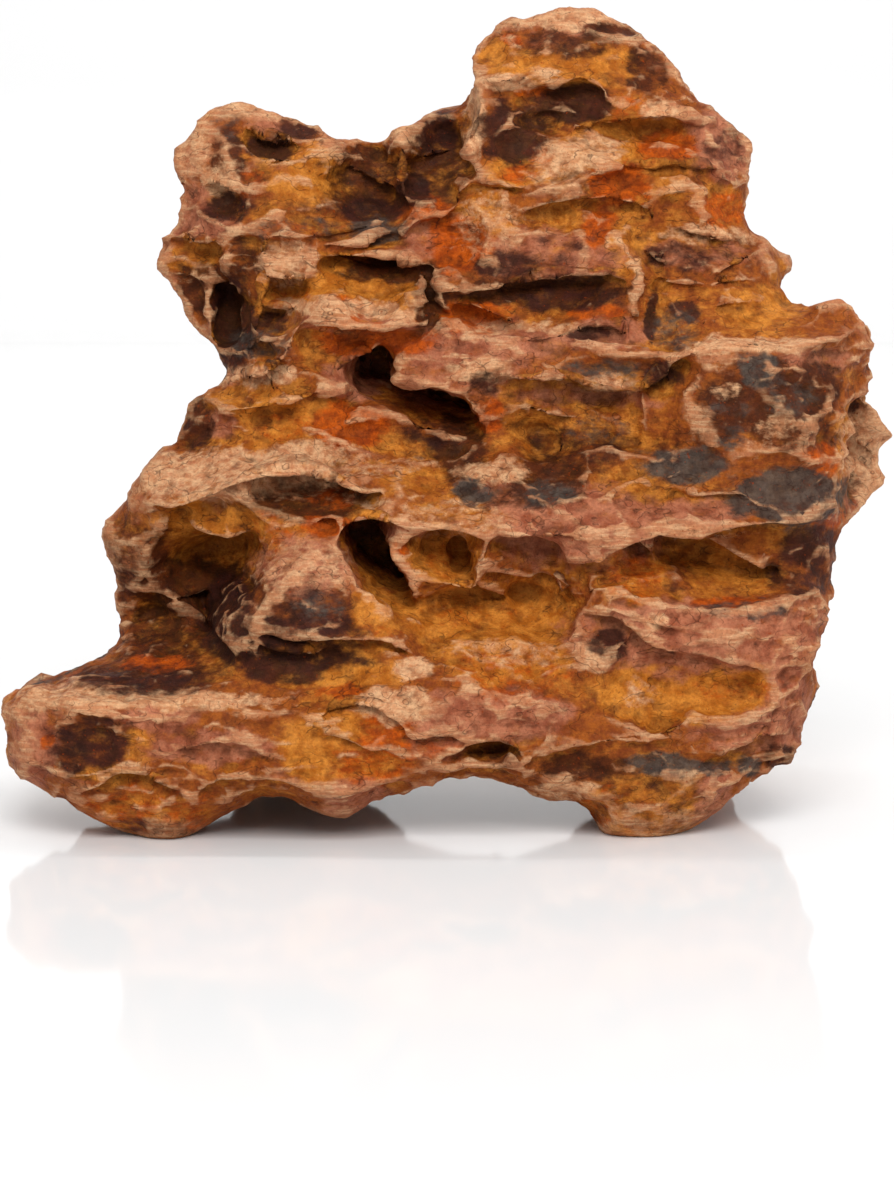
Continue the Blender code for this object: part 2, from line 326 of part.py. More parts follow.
BASE_LINES = [
    (0, [(-107, 37, -2), (-100, 38.5, -4), (-94, 40.5, -8), (-88, 43.5, -14), (-84, 45.8, -20)]),
    (0, [(-102, 36.7, 4), (-95, 38, 2), (-89, 41, -4)]),
    (-5, [(-109.5, 35.3, 2), (-104, 35.8, 8), (-99, 35.2, 12), (-94.5, 36.3, 14), (-91, 34.8, 15),
          (-86, 34.5, 16), (-78, 35.3, 16), (-70, 36.8, 15), (-62, 37.8, 14), (-57, 39, 13),
          (-54, 41.5, 10), (-52, 44, 7)]),
    (0, [(-93, 32.5, 18), (-84, 31.5, 18), (-72, 31.8, 18), (-64, 33, 17), (-56, 34, 17), (-48, 33, 18),
         (-42, 32, 18)]),
    (0, [(-108, 32, 6), (-105, 26, 9), (-104, 20, 10), (-101, 15, 9)]),
    (0, [(-80.5, 30, 18), (-80, 25, 18), (-79.5, 19.5, 18)]),
    (0, [(-100, 17, 12), (-95, 16, 15), (-90, 16.3, 17), (-84, 18, 18), (-79, 19, 18)]),
    (5, [(-92, 10.5, 12), (-87, 12.3, 15), (-82, 15.7, 17), (-76, 15.7, 17), (-70, 12.7, 16),
         (-64, 11, 14)]),
    (0, [(-85, 11.5, 11), (-80, 12.5, 13), (-75, 12, 13), (-69, 9.5, 13)]),
    (0, [(-84, 7, 8), (-76, 6, 9), (-68, 5, 9), (-60, 7.5, 9)]),
    (5, [(-63, 11, 14), (-58, 14.7, 16), (-54, 15.2, 17), (-47, 14.9, 17), (-40, 14, 17), (-36, 11.7, 16),
         (-32, 9.2, 14)]),
    (0, [(-52, 10.7, 12), (-44, 11, 13), (-37, 9.7, 13), (-32, 8, 12)]),
    (0, [(-72, 22, 17), (-65, 23, 18.5), (-59, 24.5, 19), (-53, 25, 19), (-47, 23, 19), (-43, 19, 18),
         (-41, 15, 17)]),
    (3, [(-34, 29, 19), (-31, 31.7, 19), (-27, 34, 19), (-22, 34.2, 20), (-17, 32.7, 20),
         (-13, 29.7, 20), (-10, 25.7, 19), (-8.5, 21.7, 17)]),
    (0, [(-42, 32, 18), (-41, 26, 18), (-41, 20, 18), (-38, 15, 17)]),
    (0, [(-38, 15, 17), (-30, 12, 15), (-22, 11, 14)]),
    (2, [(-30, 27, 19), (-25, 25.2, 19.5), (-20, 22.7, 19), (-13, 22.7, 18)]),
    (0, [(-12, 28.5, 20), (-7, 29.5, 20), (-3, 33, 20), (1, 36.5, 19), (6, 38, 19), (11, 37, 19),
         (18, 35.8, 18), (26, 34, 16), (33, 31, 13)]),
    (3, [(-9, 24.7, 19), (-4, 25.7, 19), (1, 26.2, 19), (4.5, 24.7, 18)]),
    (7, [(-1, 20.7, 17), (4, 22.2, 17), (8, 24, 17), (13, 24.2, 17), (17, 22.7, 16), (19.5, 20.2, 15)]),
    (0, [(5, 19.5, 15), (11, 18.3, 15), (15, 19.3, 15), (19.5, 20, 15)]),
    (0, [(-12, 15, 14), (-5, 16, 14), (3, 16.7, 14), (12, 16.7, 14), (19, 15.5, 13), (26, 12.5, 10)]),
]

# Floors of the hollows: lines that hold the face back.
HOLLOW_LINES = [
    [(-46.5, 174, -29), (-42, 173.6, -29)],
    [(-58, 160, -28), (-54, 159.7, -27)],
    [(-66, 146, -34), (-60, 146, -32)],
    [(-62, 134.5, -36), (-60.5, 130, -33)],
    [(-55.5, 138, -36), (-54, 131, -41), (-54, 125, -36)],
    [(-42, 137.5, -18), (-37, 136.5, -17)],
    [(-46, 130.3, -19), (-42, 130, -19)],
    [(-36, 124, -13), (-35, 119.5, -14), (-33.5, 116, -12)],
    [(-27, 125, -13), (-18, 125, -13), (-10, 126, -13)],
    [(-19, 174, -34), (-16, 169, -36)],
    [(-26, 162, -29), (-20, 159.7, -32), (-14.5, 157.7, -32)],
    [(-3, 181, -36), (-1, 176, -39), (0, 172, -39)],
    [(-8, 164, -29), (-3, 163, -30), (1, 162, -28)],
    [(24, 186, -25), (31, 185.5, -27), (37.5, 184.3, -25)],
    [(11, 176, -17), (18, 176.7, -21), (26, 178, -25)],
    [(36, 175.7, -22), (44, 175, -25), (52, 175.5, -26), (59, 177.5, -25)],
    [(42, 165, -16), (47, 165, -17)],
    [(66.5, 160.5, -22), (69.5, 159, -25), (70, 156.5, -25)],
    [(11, 162, -17), (16, 161, -17)],
    [(-4, 151.5, -20), (2, 151, -22), (6, 150.5, -19)],
    [(24, 155, -14), (32, 155.5, -15), (40, 156, -15)],
    [(4, 134.8, -12), (14, 135.8, -13), (24, 136.5, -14), (34, 137.5, -15), (42, 137, -12)],
    [(-28, 143, -27), (-18, 143.5, -29), (-8, 142, -26)],
    [(-26, 137, -17), (-16, 135.5, -17), (-10, 138, -18)],
    [(-62, 103, -23), (-50, 102.5, -15), (-38, 102.5, -14), (-26, 106, -13), (-18, 108, -12),
     (-8, 105.5, -12), (0, 103, -13), (5, 101, -13)],
    [(-40, 99.3, -13), (-24, 98.5, -12), (-8, 97, -12)],
    [(16, 108.5, -8), (26, 106.5, -7), (36, 105, -7), (44, 104.5, -6)],
    [(26, 98.5, -8), (36, 97.5, -7), (43, 99, -6)],
    [(-48, 87.7, -7), (-42, 86.5, -12), (-35, 85.5, -13), (-28, 85.7, -11), (-22, 85, -5)],
    [(-32, 78.8, -4), (-28.5, 79, -4)],
    [(-64, 81, -11), (-57, 80.5, -11)],
    [(-68, 66.5, -29), (-60, 65.7, -36), (-53, 66.5, -34)],
    [(-62, 57, -34), (-60.5, 52, -38), (-59.8, 47.5, -34)],
    [(-77, 54, -33), (-70, 52, -34)],
    [(-6, 71.5, -8), (-1, 72, -10)],
    [(-36, 60, 12), (-31, 57, 12), (-29, 54, 12)],
    [(-44, 45, 7), (-36, 43.3, 6), (-28, 44.5, 7)],
    [(-6, 56, -3), (2, 57.5, -8), (12, 57.5, -11), (22, 57, -11), (28, 56.5, -5)],
    [(13, 72, 0), (20, 70.5, -3), (26, 68, -4)],
    [(46, 69.5, -2), (54, 70, -9), (62, 66.5, -11), (72, 63.7, -9), (82, 64, -8)],
    [(38, 50, 6), (42, 50.5, 6)],
    [(42, 38, 7), (52, 38.5, 5), (64, 37, 4), (75, 36.5, 4)],
    [(8, 21.3, 9), (14, 21.5, 9)],
    [(66, 18.5, 4), (76, 18.5, 1)],
    [(-97, 25, 12), (-89, 25, 13.5), (-84, 24, 15)],
    [(-66, 19, 15), (-56, 19.5, 15), (-47, 18.5, 15.5)],
    [(-90, 37.5, 8), (-78, 40, 4), (-66, 41.5, 0), (-59, 43, -5)],
    [(84, 128.5, -12), (92, 128.5, -12), (98, 129.8, -13)],
    [(56, 94.5, 3), (63, 92, 3)],
    [(80, 88, 5), (92, 86.5, 2)],
]

FRONT_LINES = (UPPER_LEFT_LINES + PEAK_LINES + SHOULDER_LINES + MIDDLE_LINES + LEDGE_LINES + NOSE_LINES
               + RIGHT_LINES + BASE_LINES + [(0, line) for line in HOLLOW_LINES])

# Each patch: centre across and up, half width and half height, and how strongly the face sags there.
SCOOPS = [
    (-19, 171, 8, 6, 0.10), (-22, 160, 9, 5, 0.10), (-57, 160, 4, 3, 0.2), (-54, 131, 4, 9, 0.35),
    (-63, 145, 6, 3, 0.1), (-18, 139, 14, 6, 0.05), (-35, 119, 6, 6, 0.12), (-1, 151, 8, 5, 0.15),
    (0, 176, 5, 9, 0.10), (-3, 163, 8, 4, 0.10), (16, 175, 9, 5, 0.06), (46, 175, 14, 4, 0.12),
    (34, 155, 11, 4, 0.08), (69, 159, 4, 5, 0.12), (20, 136, 22, 3, 0.15), (-20, 103, 26, 6, 0.08),
    (0, 100, 7, 6, 0.16), (34, 103, 15, 9, 0.02), (-38, 86, 9, 4, 0.22), (-61, 80, 8, 3, 0.05),
    (-57, 60, 6, 10, 0.14), (-72, 53, 8, 6, 0.05), (-32, 58, 7, 7, 0.04), (12, 56, 18, 6, 0.10),
    (-2, 71, 6, 5, 0.14), (60, 67, 12, 6, 0.09), (84, 68, 9, 5, 0.06), (58, 38, 18, 5, 0.05),
    (40, 50, 4, 2, 0.15), (12, 21, 6, 2, 0.2), (90, 129, 6, 2, 0.1), (-90, 25, 8, 5, 0.03),
    (-56, 19, 11, 3, 0.03), (-27, 21, 10, 8, 0.02), (58, 94, 8, 4, 0.05), (85, 88, 10, 5, 0.04),
    (31, 185, 8, 4, 0.06), (44, 164, 6, 4, 0.06), (56, 118, 4, 3, 0.08), (-78, 42, 14, 4, 0.04),
]
SWELLS = [
    (-64, 170, 5, 7, 0.06), (-21, 117, 6, 5, 0.09), (-43, 145, 7, 4, 0.04), (30, 200, 18, 6, 0.05),
    (56, 166, 4, 3, 0.06), (78, 108, 18, 12, 0.06), (34, 80, 18, 6, 0.07), (62, 53, 24, 5, 0.05),
    (-40, 64, 8, 8, 0.05), (-104, 25, 5, 8, 0.06), (52, 11, 14, 6, 0.07), (8, 31, 14, 5, 0.05),
    (-72, 6, 12, 4, 0.08), (-78, 74, 6, 6, 0.06), (75, 28, 9, 3, 0.05), (-48, 104, 8, 4, 0.03),
    (-25, 15, 9, 5, 0.04), (-55, 93, 18, 4, 0.03), (104, 97, 5, 8, 0.06), (70, 146, 10, 4, 0.03),
    (20, 123, 20, 2, 0.04), (24, 151, 5, 3, 0.05),
]
SAG = 0.05

# Deep holes in the face: how far out their floor stands, then their rim.
WELLS = [
    (-52, [(-20.5, 112.5), (-19.5, 116.5), (-17.5, 118), (-14.7, 118.7), (-14.5, 115.5), (-13, 114),
           (-10, 113), (-8, 111), (-5.5, 109.2), (-9, 109.2), (-12, 109), (-16, 111.7)]),
    (-50, [(-4, 107), (-2, 108.5), (1, 109), (3, 108), (6, 106.5), (8, 104.5), (8, 103.7), (6, 104),
           (2, 106), (-1, 106)]),
    (-44, [(-26, 75), (-23, 75.7), (-17, 75), (-15, 73), (-13, 69), (-11, 64), (-10, 60.5), (-13, 60.5),
           (-15.5, 61.7), (-19, 65), (-22, 68.5), (-24, 72)]),
    (-13, [(0, 67), (1, 68.8), (4, 69.3), (5.8, 68), (5.8, 66), (2, 65.6)]),
]

# The back face: out is how far it stands behind the board.
BACK_LINES = [
    (3, [(-98, 22, 62), (-80, 28, 80), (-55, 24, 92), (-30, 30, 96), (0, 34, 94), (30, 28, 96),
         (58, 31, 94), (84, 34, 84)]),
    (0, [(-60, 12, 84), (-40, 14, 92), (-15, 18, 92)]),
    (0, [(40, 16, 90), (62, 12, 90), (80, 22, 82)]),
    (4, [(-82, 52, 66), (-66, 49, 84), (-44, 55, 97), (-20, 50, 104), (8, 56, 106), (36, 51, 104),
         (62, 58, 98), (90, 55, 82)]),
    (4, [(-78, 78, 66), (-58, 74, 85), (-34, 80, 98), (-6, 76, 108), (22, 82, 110), (50, 77, 106),
         (78, 82, 94), (98, 78, 80)]),
    (5, [(-60, 104, 66), (-42, 99, 82), (-18, 106, 96), (10, 101, 105), (38, 107, 107), (66, 102, 101),
         (92, 106, 88), (106, 100, 74)]),
    (4, [(-64, 146, 62), (-50, 141, 74), (-32, 146, 82), (-10, 140, 90), (14, 134, 98), (40, 130, 101),
         (64, 127, 96), (88, 126, 82), (102, 124, 66)]),
    (4, [(-64, 168, 58), (-48, 166, 70), (-30, 163, 75), (-10, 160, 78), (12, 162, 84), (36, 156, 90),
         (58, 154, 84), (74, 150, 70)]),
    (0, [(-40, 176, 60), (-26, 170, 66), (-12, 172, 64)]),
    (4, [(10, 186, 66), (28, 181, 78), (46, 184, 80), (64, 176, 68)]),
    (0, [(16, 200, 56), (32, 203, 60), (46, 199, 58)]),
    (0, [(-30, 30, 96), (-38, 42, 96), (-44, 55, 97)]),
    (0, [(30, 28, 96), (38, 40, 99), (36, 51, 104)]),
    (0, [(-20, 50, 104), (-14, 64, 103), (-6, 76, 108)]),
    (0, [(50, 77, 106), (56, 90, 102), (66, 102, 101)]),
    (0, [(-34, 80, 98), (-26, 92, 94), (-18, 106, 96)]),
    (0, [(10, 101, 105), (4, 118, 98), (14, 134, 98)]),
    (0, [(-32, 146, 82), (-24, 154, 78), (-30, 163, 75)]),
    (0, [(40, 130, 101), (46, 143, 94), (36, 156, 90)]),
    (0, [(28, 181, 78), (24, 171, 82), (12, 162, 84)]),
    (0, [(78, 82, 94), (84, 68, 90), (90, 55, 82)]),
]
BACK_SCOOPS = [
    (-58, 38, 12, 7, 0.08), (0, 42, 14, 6, 0.06), (62, 44, 14, 7, 0.08), (-50, 66, 10, 7, 0.06),
    (20, 66, 12, 7, 0.08), (-10, 92, 12, 7, 0.08), (40, 92, 12, 7, 0.08), (78, 92, 10, 7, 0.05),
    (-10, 122, 12, 9, 0.10), (40, 118, 14, 7, 0.06), (-44, 154, 10, 6, 0.07), (12, 148, 12, 7, 0.07),
    (60, 140, 8, 6, 0.06), (40, 170, 10, 7, 0.07), (-50, 88, 9, 7, 0.05), (72, 66, 8, 6, 0.05),
]
BACK_SWELLS = [(84, 112, 10, 6, 0.05), (-6, 64, 6, 5, 0.05), (30, 192, 12, 4, 0.06), (-52, 176, 8, 5, 0.05)]

# Lumps joined on as feet: centre across, back and up, then half width, half depth and half height.
FEET = [
    (-40, 74, 13, 18, 15, 14.4), (-33, 65, 21, 24, 17, 16), (-53, 69, 23, 16, 15, 14),
    (60, 72, 13, 17, 15, 14.4), (53, 63, 21, 23, 17, 16), (71, 65, 23, 14, 16, 14),
    (-71, 13, 9, 14, 14, 9.9), (51, 15, 10, 16, 17, 10.9),
]


def smoothed(points):
    """The closed outline with each corner cut at a quarter of its two sides."""
    points = np.array(points, dtype=float)
    following = np.roll(points, -1, axis=0)
    near = 0.75 * points + 0.25 * following
    far = 0.25 * points + 0.75 * following
    return np.stack([near, far], axis=1).reshape(-1, 2)


def nearest(across, up, outline):
    """Distance to a closed outline (negative outside) and the nearest point on it."""
    best = np.full(across.shape, np.inf)
    near_across = np.zeros_like(across)
    near_up = np.zeros_like(up)
    inside = np.zeros(across.shape, dtype=bool)
    for (x0, u0), (x1, u1) in zip(outline, np.roll(outline, -1, axis=0)):
        run, rise = x1 - x0, u1 - u0
        along = ((across - x0) * run + (up - u0) * rise) / (run * run + rise * rise)
        along = np.clip(along, 0.0, 1.0)
        foot_x, foot_u = x0 + along * run, u0 + along * rise
        gap = np.hypot(across - foot_x, up - foot_u)
        closer = gap < best
        best = np.where(closer, gap, best)
        near_across = np.where(closer, foot_x, near_across)
        near_up = np.where(closer, foot_u, near_up)
        if rise != 0:
            spans = (u0 > up) != (u1 > up)
            inside ^= spans & (across < x0 + run * (up - u0) / rise)
    return np.where(inside, best, -best), near_across, near_up


def board(cell):
    """The centres of the board's square cells, as two arrays: across and up."""
    across = np.arange(BOARD_LEFT + cell / 2, BOARD_RIGHT, cell)
    up = np.arange(BOARD_BOTTOM + cell / 2, BOARD_TOP, cell)
    return np.meshgrid(across, up)


def pinned(lines, wells, cell, shape):
    """Heights held by the lines and wells on a board of cells, and where they hold."""
    total = np.zeros(shape)
    count = np.zeros(shape)

    def add(points):
        column = ((points[:, 0] - BOARD_LEFT) / cell).astype(int).clip(0, shape[1] - 1)
        row = ((points[:, 1] - BOARD_BOTTOM) / cell).astype(int).clip(0, shape[0] - 1)
        np.add.at(total, (row, column), points[:, 2])
        np.add.at(count, (row, column), 1.0)

    for drop, corners in lines:
        corners = np.array(corners, dtype=float)
        lengths = np.hypot(*np.diff(corners[:, :2], axis=0).T)
        reach = np.concatenate([[0.0], np.cumsum(lengths)])
        steps = np.linspace(0.0, reach[-1], int(reach[-1] / LINE_STEP) + 2)
        points = np.stack([np.interp(steps, reach, corners[:, axis]) for axis in range(3)], axis=1)
        add(points)
        if drop:
            taper = np.sin(np.pi * np.clip(steps / reach[-1], 0.03, 0.97)) ** 0.5
            lower = points.copy()
            lower[:, 1] -= math.copysign(DROP_OFFSET, drop)
            lower[:, 2] -= abs(drop) * taper
            add(lower)
    held = np.divide(total, count, out=np.zeros(shape), where=count > 0)
    across, up = board(cell)
    for height, rim in wells:
        depth = nearest(across, up, np.array(rim, dtype=float))[0]
        held = np.where(depth > 0, height, held)
        count = np.where(depth > 0, 1.0, count)
    return held, count > 0


def patches(across, up, cells):
    """Soft round patches added up: each falls from its strength at the centre to nothing at its rim."""
    total = np.zeros_like(across)
    for x, u, half_width, half_height, strength in cells:
        distance = ((across - x) / half_width) ** 2 + ((up - u) / half_height) ** 2
        total += strength * np.exp(-0.8 * distance)
    return total


def beside(field, fill):
    """The four neighbours of every cell added up; outside the board they count as the fill."""
    padded = np.pad(field, 1, constant_values=fill)
    return padded[:-2, 1:-1] + padded[2:, 1:-1] + padded[1:-1, :-2] + padded[1:-1, 2:]


def hung_skin(lines, wells, scoops, swells, outline):
    """A skin held at the lines and sagging between them: each free cell is its neighbours' mean less the
    load. It is settled on coarse cells first and then on finer ones."""
    skin = None
    for cell, sweeps in zip(CELLS, SWEEPS):
        across, up = board(cell)
        held, fixed = pinned(lines, wells, cell, across.shape)
        stone = (nearest(across, up, outline)[0] > -2 * cell).astype(float)
        load = (SAG + patches(across, up, scoops) - patches(across, up, swells)) * cell * cell / 4
        if skin is None:
            skin = np.full(across.shape, held[fixed].mean())
        else:
            skin = skin.repeat(2, axis=0).repeat(2, axis=1)
        neighbours = np.maximum(beside(stone, 0.0), 1.0)
        for _ in range(sweeps):
            mean = beside(skin * stone, 0.0) / neighbours
            skin = np.where(fixed, held, mean - load)
    return skin


def blurred(field, weight, cells):
    """Mean of the field over a square of the given half width, three times over, where it has weight."""
    for _ in range(3):
        for axis in (0, 1):
            total = np.cumsum(np.pad(field * weight, ((cells + 1, cells),) * 2), axis=axis)
            share = np.cumsum(np.pad(weight, ((cells + 1, cells),) * 2), axis=axis)
            width = 2 * cells + 1
            keep = slice(cells + 1, -cells)
            if axis == 0:
                total = (total[width:] - total[:-width])[:, keep]
                share = (share[width:] - share[:-width])[:, keep]
            else:
                total = (total[:, width:] - total[:, :-width])[keep]
                share = (share[:, width:] - share[:, :-width])[keep]
            field = total / np.maximum(share, 1e-6)
    return field


def rounding(distance, radius):
    """A quarter circle's rise from 0 at the outline to 1 at the radius."""
    share = np.clip(distance / radius, 0.0, 1.0)
    return np.sqrt(1.0 - (1.0 - share) ** 2)


def to_frame(across, up, out):
    """Board places to metres in the stone's frame. What stands out is drawn smaller about the eye's axis,
    so that its outline stays where it was drawn."""
    shrink = 1.0 - out / EYE_DISTANCE
    across = across * shrink
    up = EYE_HEIGHT + (up - EYE_HEIGHT) * shrink
    back = up * math.sin(LEAN) - out * math.cos(LEAN)
    height = up * math.cos(LEAN) + out * math.sin(LEAN)
    return (np.stack([across, back, height], axis=-1) + STONE_SHIFT) * MM


def stone_sheets():
    """Vertices and faces of the front and back sheets, sewn together along the outline."""
    outline = smoothed(OUTLINE)
    cell = CELLS[-1]
    across, up = board(cell)
    distance, edge_across, edge_up = nearest(across, up, outline)
    front = hung_skin(FRONT_LINES, WELLS, SCOOPS, SWELLS, outline)
    back = -BACK_DEPTH * hung_skin(BACK_LINES, [], BACK_SCOOPS, BACK_SWELLS, outline)
    edge = front - EDGE_SHARE * (front - back)
    low = np.clip((UNDERSIDE_TOP - up) / UNDERSIDE_FADE, 0.0, 1.0)
    back_radius = BACK_ROUNDING + (UNDERSIDE_ROUNDING - BACK_ROUNDING) * low
    front_out = edge + (front - edge) * rounding(distance, FRONT_ROUNDING)
    back_out = edge + (back - edge) * rounding(distance, back_radius)

    stone = (distance > 0).astype(float)
    recess = blurred(front_out, stone, RECESS_BLUR) - front_out - UNDERCUT_START
    recess = np.clip(recess, 0.0, UNDERCUT_DEPTH)
    front_up = up + UNDERCUT * recess * np.clip(distance / UNDERCUT_MARGIN, 0.0, 1.0)
    back_up = up + UNDERSIDE_RISE * (edge - back_out) * np.clip(1.0 - up / RISE_FADE, 0.0, 1.0)

    inside = distance > 0
    quads = inside[:-1, :-1] | inside[1:, :-1] | inside[:-1, 1:] | inside[1:, 1:]
    used = np.zeros_like(inside)
    used[:-1, :-1] |= quads
    used[1:, :-1] |= quads
    used[:-1, 1:] |= quads
    used[1:, 1:] |= quads
    rim = used & ~inside
    number = np.full(inside.shape, -1)
    number[used] = np.arange(used.sum())
    behind = number.copy()
    behind[inside] = used.sum() + np.arange(inside.sum())

    x = np.where(rim, edge_across, across)
    front_points = to_frame(x, np.where(rim, edge_up, front_up), np.where(rim, edge, front_out))[used]
    back_points = to_frame(x, back_up, back_out)[inside]
    rows, columns = np.nonzero(quads)

    def corners(index):
        return np.stack([index[rows, columns], index[rows, columns + 1],
                         index[rows + 1, columns + 1], index[rows + 1, columns]], axis=1)

    faces = np.concatenate([corners(number), corners(behind)[:, ::-1]])
    return np.concatenate([front_points, back_points]), faces


def lattice_noise(points, size, seed):
    """Smooth noise from -1 to 1: seeded values on a cubic lattice of the given size, eased between."""
    generator = np.random.default_rng(seed)
    values = generator.uniform(-1.0, 1.0, (LATTICE, LATTICE, LATTICE))
    place = points / size + 16 * LATTICE
    cell = np.floor(place).astype(int)
    ease = place - cell
    ease = ease * ease * (3.0 - 2.0 * ease)
    total = np.zeros(len(points))
    for corner in range(8):
        step = np.array([corner & 1, corner >> 1 & 1, corner >> 2])
        weight = np.prod(np.where(step, ease, 1.0 - ease), axis=1)
        index = (cell + step) % LATTICE
        total += weight * values[index[:, 0], index[:, 1], index[:, 2]]
    return total


def scallops(points, size, seed):
    """Bowls side by side that meet in sharp crests: the squared distance to the nearest of the seeded
    points, one in each box of a lattice of the given size, so 0 at a bowl's middle, about 0.6 at its rim."""
    generator = np.random.default_rng(seed)
    offsets = generator.uniform(0.0, 1.0, (LATTICE, LATTICE, LATTICE, 3))
    place = points / (np.array(size) * MM) + 16 * LATTICE
    cell = np.floor(place).astype(int)
    square = np.full(len(points), np.inf)
    for number in range(27):
        step = np.array([number % 3, number // 3 % 3, number // 9]) - 1
        index = (cell + step) % LATTICE
        middle = cell + step + offsets[index[:, 0], index[:, 1], index[:, 2]]
        square = np.minimum(square, ((place - middle) ** 2).sum(axis=1))
    return square


def bent(points):
    """The points pushed to and fro by slow noise, so that a pattern read at them wanders."""
    push = [lattice_noise(points, BEND_SIZE * MM, seed) for seed in BEND_SEEDS]
    return points + BEND * MM * np.stack(push, axis=1)


def wear(points, normals):
    """How far weather has moved each point along its normal, in mm: slow swells, then bowls that meet in
    wandering crests and sharp ridges where a flattened noise changes sign, both deeper in rough stretches
    than in smooth ones, and pits underneath."""
    wandering = bent(points)
    mean, spread, least, most = STRETCH_SHARE
    rough = np.clip(mean + spread * lattice_noise(points, STRETCH_SIZE * MM, STRETCH_SEED), least, most)
    relief = SWELL_HEIGHT * lattice_noise(points, SWELL_SIZE * MM, SWELL_SEED)
    relief += rough * SCALLOP_DEPTH * (scallops(wandering, SCALLOP_SIZE, SCALLOP_SEED) - SCALLOP_LEVEL)
    ridges = np.abs(lattice_noise(wandering, np.array(RIDGE_SIZE) * MM, RIDGE_SEED))
    relief += rough * RIDGE_HEIGHT * (1.0 - RIDGE_SLOPE * ridges)
    pits = np.clip(lattice_noise(points, PIT_SIZE * MM, PIT_SEED) + PIT_SHARE, 0.0, 1.0)
    return relief - PIT_DEPTH * pits * np.clip(-normals[:, 2], 0.0, 1.0) ** 2


def calm(points):
    """The share of the wear that is left near the ground, where the feet are rubbed flat."""
    return np.clip(points[:, 2] / (CALM_HEIGHT * MM), CALM_SHARE, 1.0)


def vertex_array(mesh, attribute):
    """One vector a vertex, as an array."""
    values = np.empty(len(mesh.vertices) * 3)
    mesh.vertices.foreach_get(attribute, values)
    return values.reshape(-1, 3)


def finished_mesh(stone):
    """The stone's mesh as its modifiers leave it, in place of the one that it had."""
    graph = bpy.context.evaluated_depsgraph_get()
    mesh = bpy.data.meshes.new_from_object(stone.evaluated_get(graph))
    stone.modifiers.clear()
    stone.data = mesh
    return mesh


def stone_material():
    """Iron-stained stone: matt, ochre-brown all over."""
    material = bpy.data.materials.new("iron_stained_stone")
    material.use_nodes = True
    shader = material.node_tree.nodes["Principled BSDF"]
    shader.inputs["Base Color"].default_value = STONE_COLOUR
    shader.inputs["Roughness"].default_value = STONE_ROUGHNESS
    shader.inputs["Metallic"].default_value = 0.0
    material.diffuse_color = STONE_COLOUR
    return material


def build_stone(collection):
    """The stone: sheets and feet made one skin, roughened with lumps, thinned and set flat on its feet."""
    points, faces = stone_sheets()
    sheets = bpy.data.meshes.new(NAME)
    sheets.from_pydata(points, [], faces)
    shape = bmesh.new()
    shape.from_mesh(sheets)
    for across, back, up, half_width, half_depth, half_height in FEET:
        centre = (np.array([across, back, up]) + STONE_SHIFT) * MM
        size = Matrix.Diagonal((half_width * MM, half_depth * MM, half_height * MM, 1.0))
        place = Matrix.Translation(centre) @ size
        bmesh.ops.create_icosphere(shape, subdivisions=4, radius=1.0, matrix=place)
    shape.to_mesh(sheets)
    shape.free()
    stone = bpy.data.objects.new(NAME, sheets)
    collection.objects.link(stone)

    skin = stone.modifiers.new("one_skin", "REMESH")
    skin.mode = "VOXEL"
    skin.voxel_size = VOXEL
    mesh = finished_mesh(stone)
    points = vertex_array(mesh, "co")
    normals = vertex_array(mesh, "normal")
    relief = wear(points, normals) * calm(points)
    points += normals * (relief * MM)[:, None]
    mesh.vertices.foreach_set("co", points.ravel())

    thin = stone.modifiers.new("fewer_faces", "DECIMATE")
    thin.ratio = TRIANGLES / (2 * len(mesh.polygons))
    thin.use_collapse_triangulate = True
    mesh = finished_mesh(stone)
    points = vertex_array(mesh, "co")
    points[:, 2] = np.maximum(points[:, 2], 0.0)
    mesh.vertices.foreach_set("co", points.ravel())
    mesh.materials.clear()
    mesh.materials.append(stone_material())
    mesh.shade_smooth()
    mesh.update()


def main():
    """Clear the scene and build the stone in a collection of its own."""
    for item in list(bpy.data.objects):
        bpy.data.objects.remove(item)
    collection = bpy.data.collections.new(NAME)
    bpy.context.scene.collection.children.link(collection)
    build_stone(collection)


if __name__ == "__main__":
    main()
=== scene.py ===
"""Bamboo rock: a layered, iron-stained ornamental stone, hollowed all over, on a pale studio floor.

The face is drawn on a board that leans back behind the feet, in millimetres: across, up, and out
(towards the viewer). Crests, lips and ledges are lines with a height, and the surface between them hangs
like a skin that sags into scoops. A back face is drawn the same way, the two meet along the outline, and
lumps are joined on as feet. The whole is then worn into bowls and layers, and its stains are listed one
by one on the face and laid by seeded noise on the sides and back.
"""

import math

import bmesh
import bpy
import numpy as np
from mathutils import Matrix, Vector


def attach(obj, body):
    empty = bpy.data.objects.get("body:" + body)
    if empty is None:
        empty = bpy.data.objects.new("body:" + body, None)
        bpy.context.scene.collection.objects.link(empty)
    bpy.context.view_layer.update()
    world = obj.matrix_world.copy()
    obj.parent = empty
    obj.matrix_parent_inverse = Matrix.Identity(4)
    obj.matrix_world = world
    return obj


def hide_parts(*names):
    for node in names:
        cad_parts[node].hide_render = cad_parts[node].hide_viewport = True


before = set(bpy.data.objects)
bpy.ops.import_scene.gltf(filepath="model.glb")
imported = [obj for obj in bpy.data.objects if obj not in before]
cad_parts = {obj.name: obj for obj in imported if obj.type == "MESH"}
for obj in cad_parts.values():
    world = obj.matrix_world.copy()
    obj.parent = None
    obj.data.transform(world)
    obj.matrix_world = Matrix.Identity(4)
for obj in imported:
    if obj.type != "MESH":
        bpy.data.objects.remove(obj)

bl_info = {
    "name": "Bamboo Rock",
    "version": (1, 0, 0),
    "blender": (4, 5, 0),
    "location": "View3D > Sidebar > Stone",
    "description": "A layered, iron-stained ornamental stone and its studio floor",
    "category": "Add Mesh",
}

NAME = "bamboo_rock"
MM = 0.001

